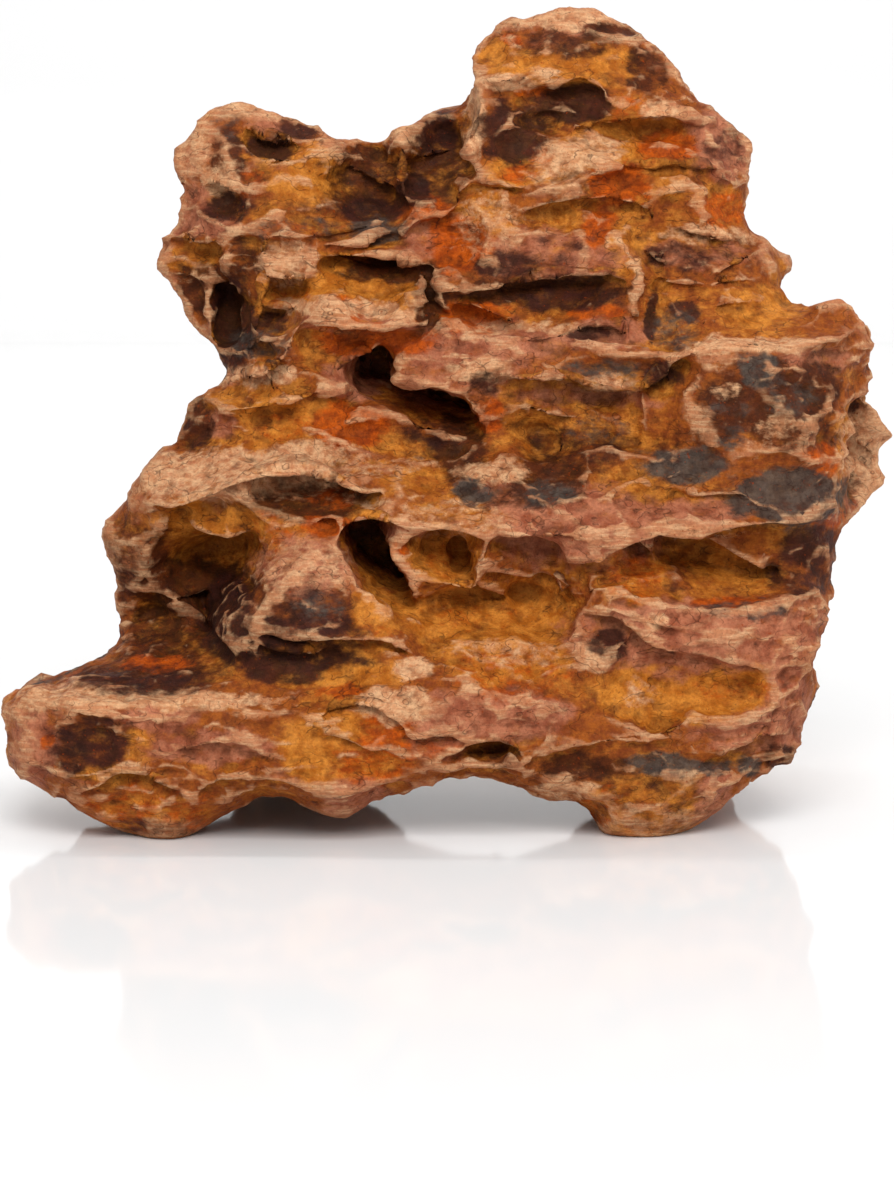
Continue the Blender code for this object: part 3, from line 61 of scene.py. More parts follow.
# The board leans back, and the eye that the outline is drawn for stands before it, in mm.
LEAN = math.radians(9)
EYE_DISTANCE = 1100.0
EYE_HEIGHT = 60.5
STONE_SHIFT = (-1.9, -48.9, -1.3)

# The picture's width on the board, and the width of the camera's sensor, in mm.
PICTURE_WIDTH = 223.5
SENSOR_WIDTH = 36.0

# The board's edges, in mm, the cells that a skin is settled on, coarse to fine, and the sweeps on each. Then
# how close the points of a line lie, how far beside it its drop does, the shares of a line where the drop's
# taper is held, how many cells the skin goes on past the outline, and how fast a soft patch falls off.
BOARD_LEFT, BOARD_RIGHT = -116.0, 116.0
BOARD_BOTTOM, BOARD_TOP = -6.0, 214.0
CELLS = (4.0, 2.0, 1.0, 0.5)
SWEEPS = (500, 260, 160, 80)
LINE_STEP = 0.25
DROP_OFFSET = 1.3
TAPER_ENDS = (0.03, 0.97)
SKIN_MARGIN = 2
PATCH_FALL = 0.8
TINY_WEIGHT = 1e-6

# How the face, the back and the underside round over to the outline.
FRONT_ROUNDING = 6.0
BACK_ROUNDING = 26.0
UNDERSIDE_ROUNDING = 13.0
UNDERSIDE_TOP = 42.0
UNDERSIDE_FADE = 24.0
UNDERSIDE_RISE = 0.26
RISE_FADE = 95.0
EDGE_SHARE = 0.16
BACK_DEPTH = 0.92

# How far the recesses reach up under the lips above them.
UNDERCUT = 0.35
UNDERCUT_DEPTH = 16.0
UNDERCUT_START = -2.0
UNDERCUT_MARGIN = 10.0
RECESS_BLUR = 14

# The wear: slow swells, bowls, sharp ridges, how both wander and fade, and pits underneath. Sizes, heights
# and depths are in mm. A share that changes from place to place has a mean, a spread, a least and a most.
LATTICE = 32
LATTICE_START = 16 * LATTICE
SWELL_SEED = 3
SWELL_SIZE = 24.0
SWELL_HEIGHT = 0.9
SCALLOP_SEED = 4
SCALLOP_SIZE = (15.0, 15.0, 8.0)
SCALLOP_DEPTH = 3.2
SCALLOP_LEVEL = 0.45
RIDGE_SEED = 9
RIDGE_SIZE = (24.0, 24.0, 9.0)
RIDGE_HEIGHT = 0.9
RIDGE_SLOPE = 3.0
STRETCH_SEED = 2
STRETCH_SIZE = 34.0
STRETCH_SHARE = (0.85, 1.0, 0.35, 1.4)
BEND_SEEDS = (6, 7, 8)
BEND_SIZE = 14.0
BEND = 4.0
PIT_SEED = 5
PIT_SIZE = 30.0
PIT_SHARE = 0.3
PIT_DEPTH = 5.0
CALM_HEIGHT = 8.0
CALM_SHARE = 0.1

# Wear too fine for the solid: smaller bowls, layers that end in small steps, and grit.
VOXEL = 0.00062
SMALL_BOWL_SIZE = (6.0, 6.0, 3.0)
TINY_BOWL_SIZE = (2.4, 2.4, 1.4)
CREASE_SIZE = (9.0, 9.0, 3.4)
CREASE_SLOPE = 3.0
LAYER_TILT = (0.05, -0.12)
LAYER_WANDER = 16.0
LAYER_RISE = 1.6
LAYER_LENGTH = 13.0
LAYERS_APART = 23.0
LAYER_STEP = 0.22
THICK_BED = 5.6
THIN_BED = 2.1
ROUGH_PATCH_SIZE = 17.0
ROUGH_SHARE = (0.60, 0.9, 0.2, 1.1)
BEDDED_SHARE = (0.50, 0.9, 0.1, 1.0)
STEEP_ENOUGH = 1.2
GRIT_SIZE = 1.5
SMOOTHING = 3
FOOT_SUBDIVISIONS = 5

# The thinning of the mesh spares the front: where a normal counts as the back's, the front's weight against
# the back's 1, and how much the weights count.
BACK_NORMAL = 0.2
FRONT_KEEP = 0.25
KEEP_FACTOR = 4.0

# The curvature that marks crests and hollows: rounds of smoothing, and the height in mm that counts as full.
CREST_ROUNDS, CREST_FULL = 6, 0.50
HOLLOW_ROUNDS, HOLLOW_FULL = 70, 3.0

# The seeds of each kind of wear and of the stains on the sides and back.
ROUGH_SEED, BEDDED_SEED = 11, 12
SMALL_BOWL_SEED, TINY_BOWL_SEED, CREASE_SEED = 13, 14, 16
THICK_BED_SEED, THIN_BED_SEED, GRIT_SEED = 15, 18, 21
ACROSS_SEED, UP_SEED = 31, 33
WILD_SEED, WILD_FINE_SEED = 41, 61

# Where the face's stains end: how gently they fade over the edge, in mm, and where the knob at the right
# begins, which keeps them.
FACE_FADE = 10.0
KNOB_LEFT = 103.0

# A stain's reach, in half widths, and how much of that its edge takes. Then the noise that its edge wavers
# with, coarse and fine, and how far it is pushed across and up, in mm.
STAIN_REACH = 1.5
STAIN_EDGE = 0.8
WAVER_SIZE, WAVER_SIZE_FINE = 5.0, 2.2
ACROSS_PUSH, ACROSS_PUSH_FINE = 1.6, 0.8
UP_PUSH, UP_PUSH_FINE = 1.3, 0.6

OUTLINE = [
    (-56, 117), (-58, 122), (-62.8, 127.3), (-64.3, 131), (-66.8, 135.5), (-70.5, 143), (-72.5, 146.3),
    (-72.3, 149.8), (-71, 152), (-67.3, 155), (-66.3, 158), (-66, 161.3), (-68.5, 165.5), (-69, 168.5),
    (-68.3, 171.8), (-66.8, 175), (-64.8, 177), (-61.8, 179), (-60.8, 181.8), (-56.3, 185.8), (-53.8, 187.3),
    (-50.5, 186.8), (-47.8, 185.8), (-44.3, 183.5), (-36.8, 180.5), (-31.8, 179.3), (-30, 176.5),
    (-26.8, 177.3), (-19.3, 176.8), (-15.5, 176.5), (-14, 178.8), (-11.8, 179.5), (-8, 179), (-4.8, 180.3),
    (-1.8, 182.5), (0.8, 183.8), (4.5, 186.8), (6.8, 190), (6.8, 191.8), (5.5, 195), (6.5, 197.5), (8.3, 200),
    (10.3, 201.5), (12.5, 204.3), (15.3, 206.3), (19.5, 206.8), (22.8, 208), (29.5, 209.5), (34.5, 209.8),
    (38.3, 208.8), (41.3, 206.5), (47.3, 205), (48.8, 202.8), (54.5, 198.5), (57, 195), (59.5, 191),
    (63.3, 186), (68.8, 180.5), (72, 178), (75, 174.8), (75.5, 171), (77, 166.8), (76.3, 162.5),
    (75.3, 159.3), (74.3, 155), (76.3, 153), (79.5, 151.3), (81.5, 148.8), (83.3, 147.5), (84.8, 147),
    (86, 144.8), (85.5, 142.3), (84, 140.5), (83, 139.3), (83.8, 137.5), (84.8, 134.8), (86.3, 133.5),
    (90.3, 132.5), (94.5, 134.5), (97, 134.5), (100.3, 133.5), (102.5, 131.8), (105.8, 129), (105.3, 126.8),
    (108, 123.8), (106.3, 120.5), (105.3, 116.8), (104.3, 111), (106.5, 108), (109.5, 106), (111, 103.8),
    (110.5, 100.5), (109.5, 96.8), (110.5, 93.5), (110.8, 90.5), (109.5, 88), (105.8, 85), (102, 81.8),
    (100, 79.3), (98.3, 75.5), (97.3, 73), (97, 70.5), (96, 67.5), (96, 64.3), (97, 61), (95.3, 59),
    (94.5, 55.5), (93, 45.5), (91.3, 35.5), (90.8, 30.5), (89.5, 27.3), (88, 25), (87.5, 21.8), (86.5, 18.5),
    (84.5, 17.3), (79.5, 15.5), (74.5, 13), (72, 10.5), (68.3, 7.5), (63.3, 4.3), (58.3, 1.8), (53.3, -0.3),
    (48.3, -0.8), (43.3, 0), (39.5, 1), (37.8, 3.5), (35.8, 6.8), (33.3, 9.5), (28.3, 9.8), (23.3, 11),
    (18.3, 13), (13.3, 14.3), (2, 14.3), (-1.8, 12.8), (-6.8, 11.3), (-11.8, 9.8), (-16.8, 8.5),
    (-21.8, 6.3), (-24.8, 4.8), (-28, 4.8), (-31.8, 5.8), (-36.8, 7.5), (-40.5, 9.3), (-47.3, 9.8),
    (-49.3, 8), (-53, 6.8), (-56.8, 5.5), (-60.5, 3.5), (-64.3, 1.5), (-67.3, -0.3), (-70.5, -0.8),
    (-74.8, 0), (-77.5, 1.5), (-81.3, 2.3), (-86.8, 3.8), (-92.3, 6), (-94.3, 8), (-96.3, 9.5), (-98, 9),
    (-100.5, 11), (-104.3, 13.3), (-108, 15.3), (-109.3, 18), (-110, 21.3), (-109.5, 25), (-109.8, 28),
    (-110.8, 30.5), (-111, 33.5), (-109.8, 35.5), (-107.5, 37.3), (-105.5, 38.5), (-99.3, 39.8),
    (-95.5, 41.5), (-91.8, 43.3), (-88, 44.8), (-85, 45.5), (-82.5, 50), (-81.5, 53), (-81.5, 56.8),
    (-83, 58), (-82.8, 61.3), (-81.8, 63.5), (-83.5, 66.8), (-84.8, 70.5), (-86.5, 75.5), (-85.5, 78.8),
    (-83.8, 81.8), (-81.3, 84.3), (-79.8, 86.8), (-78.5, 90), (-76.8, 93), (-74.3, 95.5), (-70.5, 97.5),
    (-66.5, 98.5), (-66.5, 101.8), (-65.5, 105.5), (-64.3, 109.3), (-63, 111.8), (-60.5, 114.3),
]

# Each line: how much deeper the face stands just below it (just above it if negative), then its points.
UPPER_LEFT_LINES = [
    (0, [(-60, 181, -30), (-54, 184.5, -27), (-48, 183, -27), (-42, 180, -29), (-34, 177, -31)]),
    (9, [(-51, 178, -25), (-47, 176, -22), (-42, 175.5, -22), (-38, 174.5, -24)]),
    (0, [(-51, 175.5, -24), (-48, 172.5, -20), (-44, 171, -18), (-37, 171, -19), (-30, 172.5, -24),
         (-24, 175.5, -31)]),
    (0, [(-24, 175, -31), (-30.5, 170.5, -24), (-36, 166, -20), (-40.5, 161, -18)]),
    (0, [(-66, 174, -33), (-63, 171, -25), (-61.5, 167, -24), (-62, 163.5, -27)]),
    (0, [(-58, 177, -27), (-59.5, 170, -25), (-57, 166, -22), (-53.5, 162, -21)]),
    (7, [(-61, 163.5, -25), (-57, 163.5, -21), (-53, 161.5, -20)]),
    (0, [(-65, 157, -33), (-60, 156, -27), (-54, 157, -22), (-50, 159, -19)]),
    (0, [(-50, 170, -21), (-48, 165, -19), (-46, 160, -18)]),
    (4, [(-27, 169, -29), (-22, 165.5, -30), (-17, 162.5, -29), (-11.5, 160, -26)]),
    (0, [(-15, 178, -30), (-11.5, 175, -24), (-11.5, 170, -22), (-11, 165, -21), (-11, 160, -22)]),
    (0, [(-47, 156.5, -17), (-43, 159, -14), (-39.5, 157.5, -16)]),
    (4, [(-52, 151.5, -19), (-44, 151, -12), (-36, 151, -11), (-28, 152.5, -14), (-20, 154, -19),
         (-12, 156, -25)]),
    (5, [(-33, 149, -14), (-26, 149, -15), (-19, 151, -19), (-12, 152, -23)]),
    (0, [(-52, 151.5, -19), (-55, 147, -20), (-54.5, 142, -24)]),
    (5, [(-71, 150, -36), (-66, 150.5, -27), (-60, 149.5, -23), (-55.5, 150, -21)]),
    (0, [(-69, 141.5, -35), (-64, 141, -29), (-61, 139.5, -29), (-57, 141, -30)]),
    (0, [(-65, 137, -36), (-60, 137.5, -30), (-56, 138.5, -31)]),
    (0, [(-60, 137, -30), (-59.5, 131, -27), (-58.5, 126, -26), (-56, 120.5, -25)]),
    (0, [(-46, 150, -12), (-46.5, 141, -11), (-48.5, 135, -14), (-49, 129, -16), (-50, 125, -18),
         (-52.5, 122.5, -22)]),
    (0, [(-33, 149, -13), (-32, 143, -12), (-33, 139, -14)]),
    (6, [(-46, 141, -11), (-41, 140.5, -10), (-36, 139.5, -11), (-33, 139, -14)]),
    (6, [(-48, 132.5, -15), (-43, 133, -14), (-38, 131.5, -13)]),
    (3, [(-54, 121.5, -22), (-50, 124, -16), (-44, 125.5, -13), (-40, 127.5, -11)]),
    (0, [(-55, 120, -23), (-48, 120.5, -17), (-42, 121, -13)]),
]

PEAK_LINES = [
    (0, [(10, 201, -36), (17, 203, -31), (25, 206, -30), (33, 206.5, -30), (40, 204.5, -31), (46, 203, -34)]),
    (0, [(9, 196, -31), (16, 197, -25), (24, 196, -23), (34, 197, -23), (44, 197, -26), (53, 195, -32)]),
    (4, [(8, 190.5, -18), (13, 190, -15), (18, 191, -15), (22, 191.5, -17)]),
    (0, [(22, 191.5, -17), (30, 193, -20), (38, 192, -20), (46, 190, -21), (54, 188, -24), (60, 187, -30)]),
    (0, [(7, 190, -19), (8, 186, -15), (7.5, 182, -13), (6, 178, -12), (4.6, 174.5, -11), (4.8, 171.5, -11),
         (7, 169.5, -13), (8, 166, -15)]),
    (0, [(5.4, 187.5, -30), (6, 184, -33), (5.2, 181, -34), (3.6, 177, -35), (2.6, 174, -35), (3, 170, -34)]),
    (7, [(22, 187.5, -20), (28, 189.5, -20), (33, 190, -20), (38, 188.5, -20), (40.5, 185, -20)]),
    (3, [(18, 180, -20), (24, 180.5, -23), (31, 181, -24), (38, 180.5, -22)]),
    (0, [(24, 175, -20), (20, 172, -18), (16, 168, -15), (13, 166.5, -14)]),
    (6, [(30, 177, -19), (34, 178.7, -19), (39, 179.2, -19), (45, 180.2, -19), (52, 180.7, -19),
         (60, 181.2, -21), (66, 179.7, -26)]),
    (0, [(25, 175.5, -19), (28, 176.3, -17), (31, 175.5, -16), (33, 173, -14), (37, 171, -12),
         (43, 169.2, -12)]),
    (0, [(27, 174, -17), (26, 169, -14), (24, 164, -12)]),
    (3, [(43, 169, -12), (47, 170.2, -14), (50, 168.9, -15), (53, 169.5, -15), (58, 169.5, -15),
         (63, 168.9, -16), (68, 168.7, -18), (73, 166, -24)]),
    (0, [(56.5, 171, -19), (57.5, 173.5, -21), (61, 175, -22), (65, 173.5, -21)]),
    (0, [(50, 160.3, -13), (55, 162.3, -13), (60, 166, -15)]),
    (0, [(58, 184, -24), (64, 183, -28), (68, 179, -32)]),
    (0, [(66, 176, -23), (71, 174, -26), (75, 171, -36)]),
    (0, [(66, 168, -18), (72, 164.5, -22), (76, 161, -32)]),
    (0, [(64, 163, -17), (64.5, 158, -17), (65, 155, -17)]),
    (0, [(74, 164, -27), (74, 159, -28), (73.5, 155.5, -29)]),
    (3, [(-9, 168, -30), (-4, 169.5, -31), (1, 170, -33), (5, 168, -28)]),
    (0, [(-14.5, 178.5, -31), (-11, 178, -27), (-8, 176.5, -29)]),
]

SHOULDER_LINES = [
    (7, [(8, 166, -15), (11, 165.3, -13), (15, 163.5, -12), (20, 163, -12)]),
    (5, [(19, 157, -12), (24, 158.7, -11), (30, 159.7, -11), (36, 160.5, -11), (42, 160.7, -12),
         (47, 159.7, -12), (50, 157, -13), (51.5, 154, -14)]),
    (0, [(5, 161, -15), (9, 157, -12), (11, 153, -11), (9, 149.5, -12)]),
    (0, [(14, 161, -14), (15, 156, -11), (17, 151, -10)]),
    (6, [(-12, 150, -22), (-9.5, 153.5, -18), (-5.5, 156, -16), (0, 157.2, -14), (2.5, 159.2, -14),
         (3, 162, -15), (5, 164.5, -16), (8, 166.2, -16)]),
    (0, [(-12, 147.5, -20), (-6, 145, -17), (0, 144.5, -15), (6, 146, -13)]),
    (0, [(-4, 142.7, -13), (1, 143.7, -12), (6, 143.5, -11), (9, 145.8, -10), (12, 146.3, -10),
         (16, 145, -10), (22, 146, -11), (30, 146.5, -11), (38, 147, -11), (43, 146, -11)]),
    (9, [(-2.5, 138.5, -9), (3, 137, -7), (10, 137.5, -7), (16, 139, -8), (22, 140, -8), (28, 140.5, -8),
         (34, 141.3, -8), (40, 141.3, -8), (44, 139.7, -9)]),
    (0, [(-3, 142, -12), (-2, 137, -9), (-1, 133, -10), (2, 131, -11)]),
    (0, [(-4.5, 142, -19), (-4.2, 137, -22), (-3.6, 132, -20)]),
    (0, [(0, 134, -11), (6, 134, -9), (12, 131.5, -8), (16, 129.5, -7)]),
    (0, [(42, 151.7, -11), (45, 149, -10), (46.5, 145, -9), (48.7, 141, -8), (48, 137, -7), (45.5, 134, -6),
         (48, 132, -4)]),
    (3, [(56, 152, -17), (63, 151, -16), (70, 150, -18), (77, 151, -25)]),
    (3, [(62, 139, -14), (68, 142, -14), (74, 145.5, -17), (80, 148.5, -24)]),
    (4, [(48.5, 149.2, -14), (50, 146.7, -12), (52.5, 144.7, -11), (54.5, 143.7, -12)]),
    (2, [(54, 139.7, -11), (60, 138.7, -11), (68, 139.7, -13), (76, 140.2, -17), (82, 139.2, -25)]),
    (2, [(62, 133.2, -8), (70, 134.2, -10), (78, 134.7, -14), (85, 134.2, -24)]),
    (0, [(57, 127, -5), (63, 127, -3), (70, 126.7, 0)]),
    (0, [(53.2, 138, -15), (52.2, 133, -14), (51.4, 127, -10)]),
    (0, [(80.5, 147, -25), (81.5, 143.5, -24), (82.3, 140, -25)]),
    (0, [(82.7, 146.8, -36), (83.6, 143.5, -37), (83.8, 141, -38)]),
]

MIDDLE_LINES = [
    (15, [(-31, 145.7, -15), (-24, 145.7, -15), (-17, 146.2, -16), (-11, 145.7, -16), (-3.5, 143.5, -14)]),
    (0, [(-40.5, 122.5, -9), (-39, 127, -8), (-36.5, 130.5, -6), (-33, 133, -5), (-29.5, 134.3, -4),
         (-26, 133.5, -4), (-22.5, 132, -5), (-19, 131, -6), (-15, 131.5, -6), (-11.5, 133, -7),
         (-8.5, 135, -7), (-6.5, 138, -9), (-6, 141, -12)]),
    (9, [(-34, 128.5, -5), (-27, 128, -4), (-20, 127.5, -4), (-12, 129, -5), (-5, 129.5, -7)]),
    (5, [(-58, 116, -22), (-52, 115.7, -16), (-46, 117, -10), (-42.5, 119, -8), (-40.5, 122.5, -9)]),
    (0, [(-60, 107, -21), (-54, 108, -12), (-46, 109, -8), (-38, 109, -8), (-30, 110, -9), (-26, 112, -9)]),
    (0, [(-45.5, 115, -10), (-42, 113.7, -8), (-39, 111.9, -7), (-33, 112.2, -7), (-30, 115, -9),
         (-26.5, 118.5, -10), (-22, 121, -11), (-18, 122.5, -11)]),
    (8, [(-14.5, 116.2, -12), (-12, 115, -9), (-7, 114.7, -7), (-1.5, 113.7, -6), (3, 111.2, -7),
         (6, 107.8, -9), (8.5, 104.2, -11)]),
    (0, [(8.5, 104, -11), (8.5, 101, -11), (7, 98, -11), (5.5, 95, -9)]),
    (0, [(9, 102.5, -11), (14, 102.3, -11), (19.5, 101.8, -13), (22, 99, -14), (24.5, 97, -12)]),
    (0, [(-62, 110.5, -24), (-60, 107.5, -21), (-61, 103, -23), (-60, 99.5, -23)]),
    (-9, [(-9, 124.2, -11), (-4.5, 127.3, -9), (2, 129.8, -8), (6, 127.2, -6), (12, 126.2, -5),
          (18, 127.2, -4), (24, 127.9, -4), (28.5, 127, -4)]),
    (6, [(28.5, 127.2, -4), (34, 128.7, -3), (39, 129.2, -3), (45, 128.7, -2)]),
    (0, [(28.5, 126, -4), (36, 126, -2), (44, 125.5, -1), (51, 124.7, 0)]),
    (0, [(-14.5, 118.5, -12), (-12, 120, -10), (-6, 121, -7), (0, 121, -5), (8, 120.5, -4), (14, 120, -4),
         (20, 120, -4), (28, 120.5, -3), (38, 121, -2), (48, 122, -1)]),
    (10, [(13, 116, -5), (18, 114.5, -3), (24, 114.5, -2), (31, 115.2, -1), (34, 113.7, 0), (38, 112.2, 0),
          (44, 111.9, 1), (50, 112.5, 1), (55, 114.7, 1), (58, 117.5, 1)]),
    (0, [(13, 117, -5), (12, 113, -6), (10, 109, -8), (9, 104, -11)]),
    (0, [(49, 111, 0), (48.5, 106, -1), (49, 101, -2), (47.5, 97, -2), (43, 94, -2), (39, 92.5, -1)]),
]

LEDGE_LINES = [
    (0, [(-66.5, 98.3, -26), (-57, 98.8, -17), (-50, 97.5, -13), (-42, 97, -11), (-36, 96, -9),
         (-30, 94.5, -8), (-20, 94, -6), (-12, 93.3, -5), (-8, 92.5, -5), (-5.5, 90.3, -5), (-4, 88.5, -5)]),
    (0, [(-1.5, 87.3, -3), (1.5, 89, -4), (4, 91.7, -5), (8, 93.7, -5), (14.5, 94.5, -4), (20, 93.8, -4),
         (24, 94.2, -4), (28.5, 95.7, -4), (33, 94, -2), (38, 92, -1), (45, 90.8, 0), (53, 88.8, 1)]),
    (0, [(-81, 84, -24), (-76, 85, -13), (-73, 84.2, -8), (-69, 83, -5), (-64, 84.7, -3), (-59, 86.7, -1),
         (-55, 88.7, 0), (-51, 90, 0)]),
    (11, [(-51, 90, 0), (-46, 91, 1), (-42, 91, 1), (-35, 91.3, 1), (-30, 90.3, 1), (-25, 88, 1),
          (-20, 86.7, 1), (-16.5, 87.5, 0)]),
    (0, [(-52.5, 86.7, -4), (-48, 84.7, -3), (-43, 83.2, -2), (-38, 81.2, -1), (-35, 80.5, -1),
         (-30, 81, 0), (-24, 81.5, 1), (-19, 82.5, 2), (-15, 85, 1)]),
    (0, [(-37, 78.5, -1), (-33, 77, 1), (-30, 76.3, 2), (-27.3, 75.8, 3), (-25.5, 79, 3), (-21, 82, 3),
         (-16, 83.5, 2), (-11, 85, 1), (-7, 87, -1), (-4, 88.5, -4)]),
    (0, [(-53, 86.5, -4), (-49.5, 83, -3), (-46, 80, -3), (-41, 79, -2), (-37, 78.5, -1)]),
    (5, [(-66, 79.5, -15), (-62, 77.2, -12), (-58, 75.7, -11), (-53, 74.7, -11), (-49.5, 73, -12),
         (-47.5, 70, -15)]),
    (0, [(-83, 81, -27), (-78, 76, -18), (-75, 70, -18), (-76, 65, -21)]),
    (0, [(-73, 84, -9), (-70.5, 80, -13), (-71, 75, -16)]),
    (3, [(-82, 62, -30), (-76, 61.5, -25), (-70, 61, -25), (-63, 58.5, -29), (-57, 57.8, -33)]),
    (0, [(-70, 60.5, -25), (-65.5, 56, -26), (-62.5, 51.5, -27), (-61, 47.5, -27)]),
    (0, [(-25, 79, 3), (-20, 80.5, 4), (-14, 79.7, 5), (-8, 78.7, 5), (0, 78, 6), (8, 77.5, 7)]),
    (8, [(-11, 73, 2), (-9, 75.5, 3), (-3, 76.7, 4), (3, 76.5, 5), (7.5, 75.2, 6)]),
    (0, [(-11, 69, 1), (-7, 66, 3), (-3, 65, 4), (2, 64.3, 4), (6, 63, 3)]),
    (0, [(-15.5, 75, 1), (-13, 70, 1), (-10, 65, 2), (-8.5, 60, 2)]),
    (0, [(12, 77, 7), (9.5, 73, 7), (8, 69, 7), (7, 63, 4)]),
]

NOSE_LINES = [
    (0, [(-38, 75, 1), (-33, 75, 3), (-27.5, 75.3, 5), (-25.3, 71.5, 7), (-23, 67, 8), (-20, 63, 9),
         (-16.5, 60, 9)]),
    (0, [(-40, 73, 0), (-45, 68.5, 1), (-47.5, 66, 1), (-50, 61.5, 2), (-52.5, 58.5, 3), (-55.5, 57, 3),
         (-56.5, 53, 4), (-56, 49.5, 5), (-53.5, 46.5, 6), (-51, 44, 8)]),
    (0, [(-33, 72, 8), (-38, 66, 11), (-44, 61, 12), (-49, 55, 12), (-50, 50, 12)]),
    (0, [(-48.6, 69, -22), (-51.5, 64.5, -26), (-54.5, 60.5, -28), (-58, 58, -30), (-59, 53, -30),
         (-58.5, 49, -26), (-56, 45.5, -14)]),
    (0, [(-40, 62, 11), (-34, 64, 10), (-28, 65, 10), (-25, 63, 10), (-24, 58, 10), (-23, 52, 10)]),
    (5, [(-47, 50.7, 13), (-45.5, 52, 13), (-42, 50, 13), (-38, 49.5, 14), (-30, 50.2, 14),
         (-20, 50.4, 14), (-15, 50, 13), (-11.5, 48.2, 12), (-7.5, 45.7, 9)]),
    (5, [(-47, 49, 12), (-43, 47.5, 12), (-38, 46, 12), (-32, 45.5, 11)]),
    (0, [(-50, 38.5, 15), (-42, 38, 15), (-34, 39, 13), (-27, 40, 12)]),
    (0, [(-20, 61, 9), (-14.5, 59, 8), (-14, 55, 8), (-10, 51, 8), (-6, 47.5, 8), (-3, 46, 8)]),
    (-8, [(-4, 46.5, 8), (-1, 49, 7), (3, 51.3, 5), (8, 50, 5), (12, 50, 6), (17, 50.8, 6), (22, 49.2, 6),
          (27, 48.8, 7), (30.5, 50.5, 7), (32, 53.5, 7), (33, 58, 6)]),
    (0, [(7, 63, 2), (10.5, 61, -2), (14.5, 58, -7), (18, 52.5, -8)]),
    (3, [(8.5, 66.5, 4), (13, 67, 2), (18, 65.2, -1), (24, 63.7, -5), (29, 62.2, -1)]),
    (0, [(24, 72, 4), (27, 69.5, 1), (28.5, 66, 0), (29.5, 63, 1), (28, 61, 2)]),
    (0, [(-13, 41, 12), (-10, 44, 12), (-5, 45, 11), (-2, 43.5, 13), (3, 41, 16)]),
    (0, [(-16, 36, 18), (-10, 36.5, 18), (-5, 34, 20)]),
]

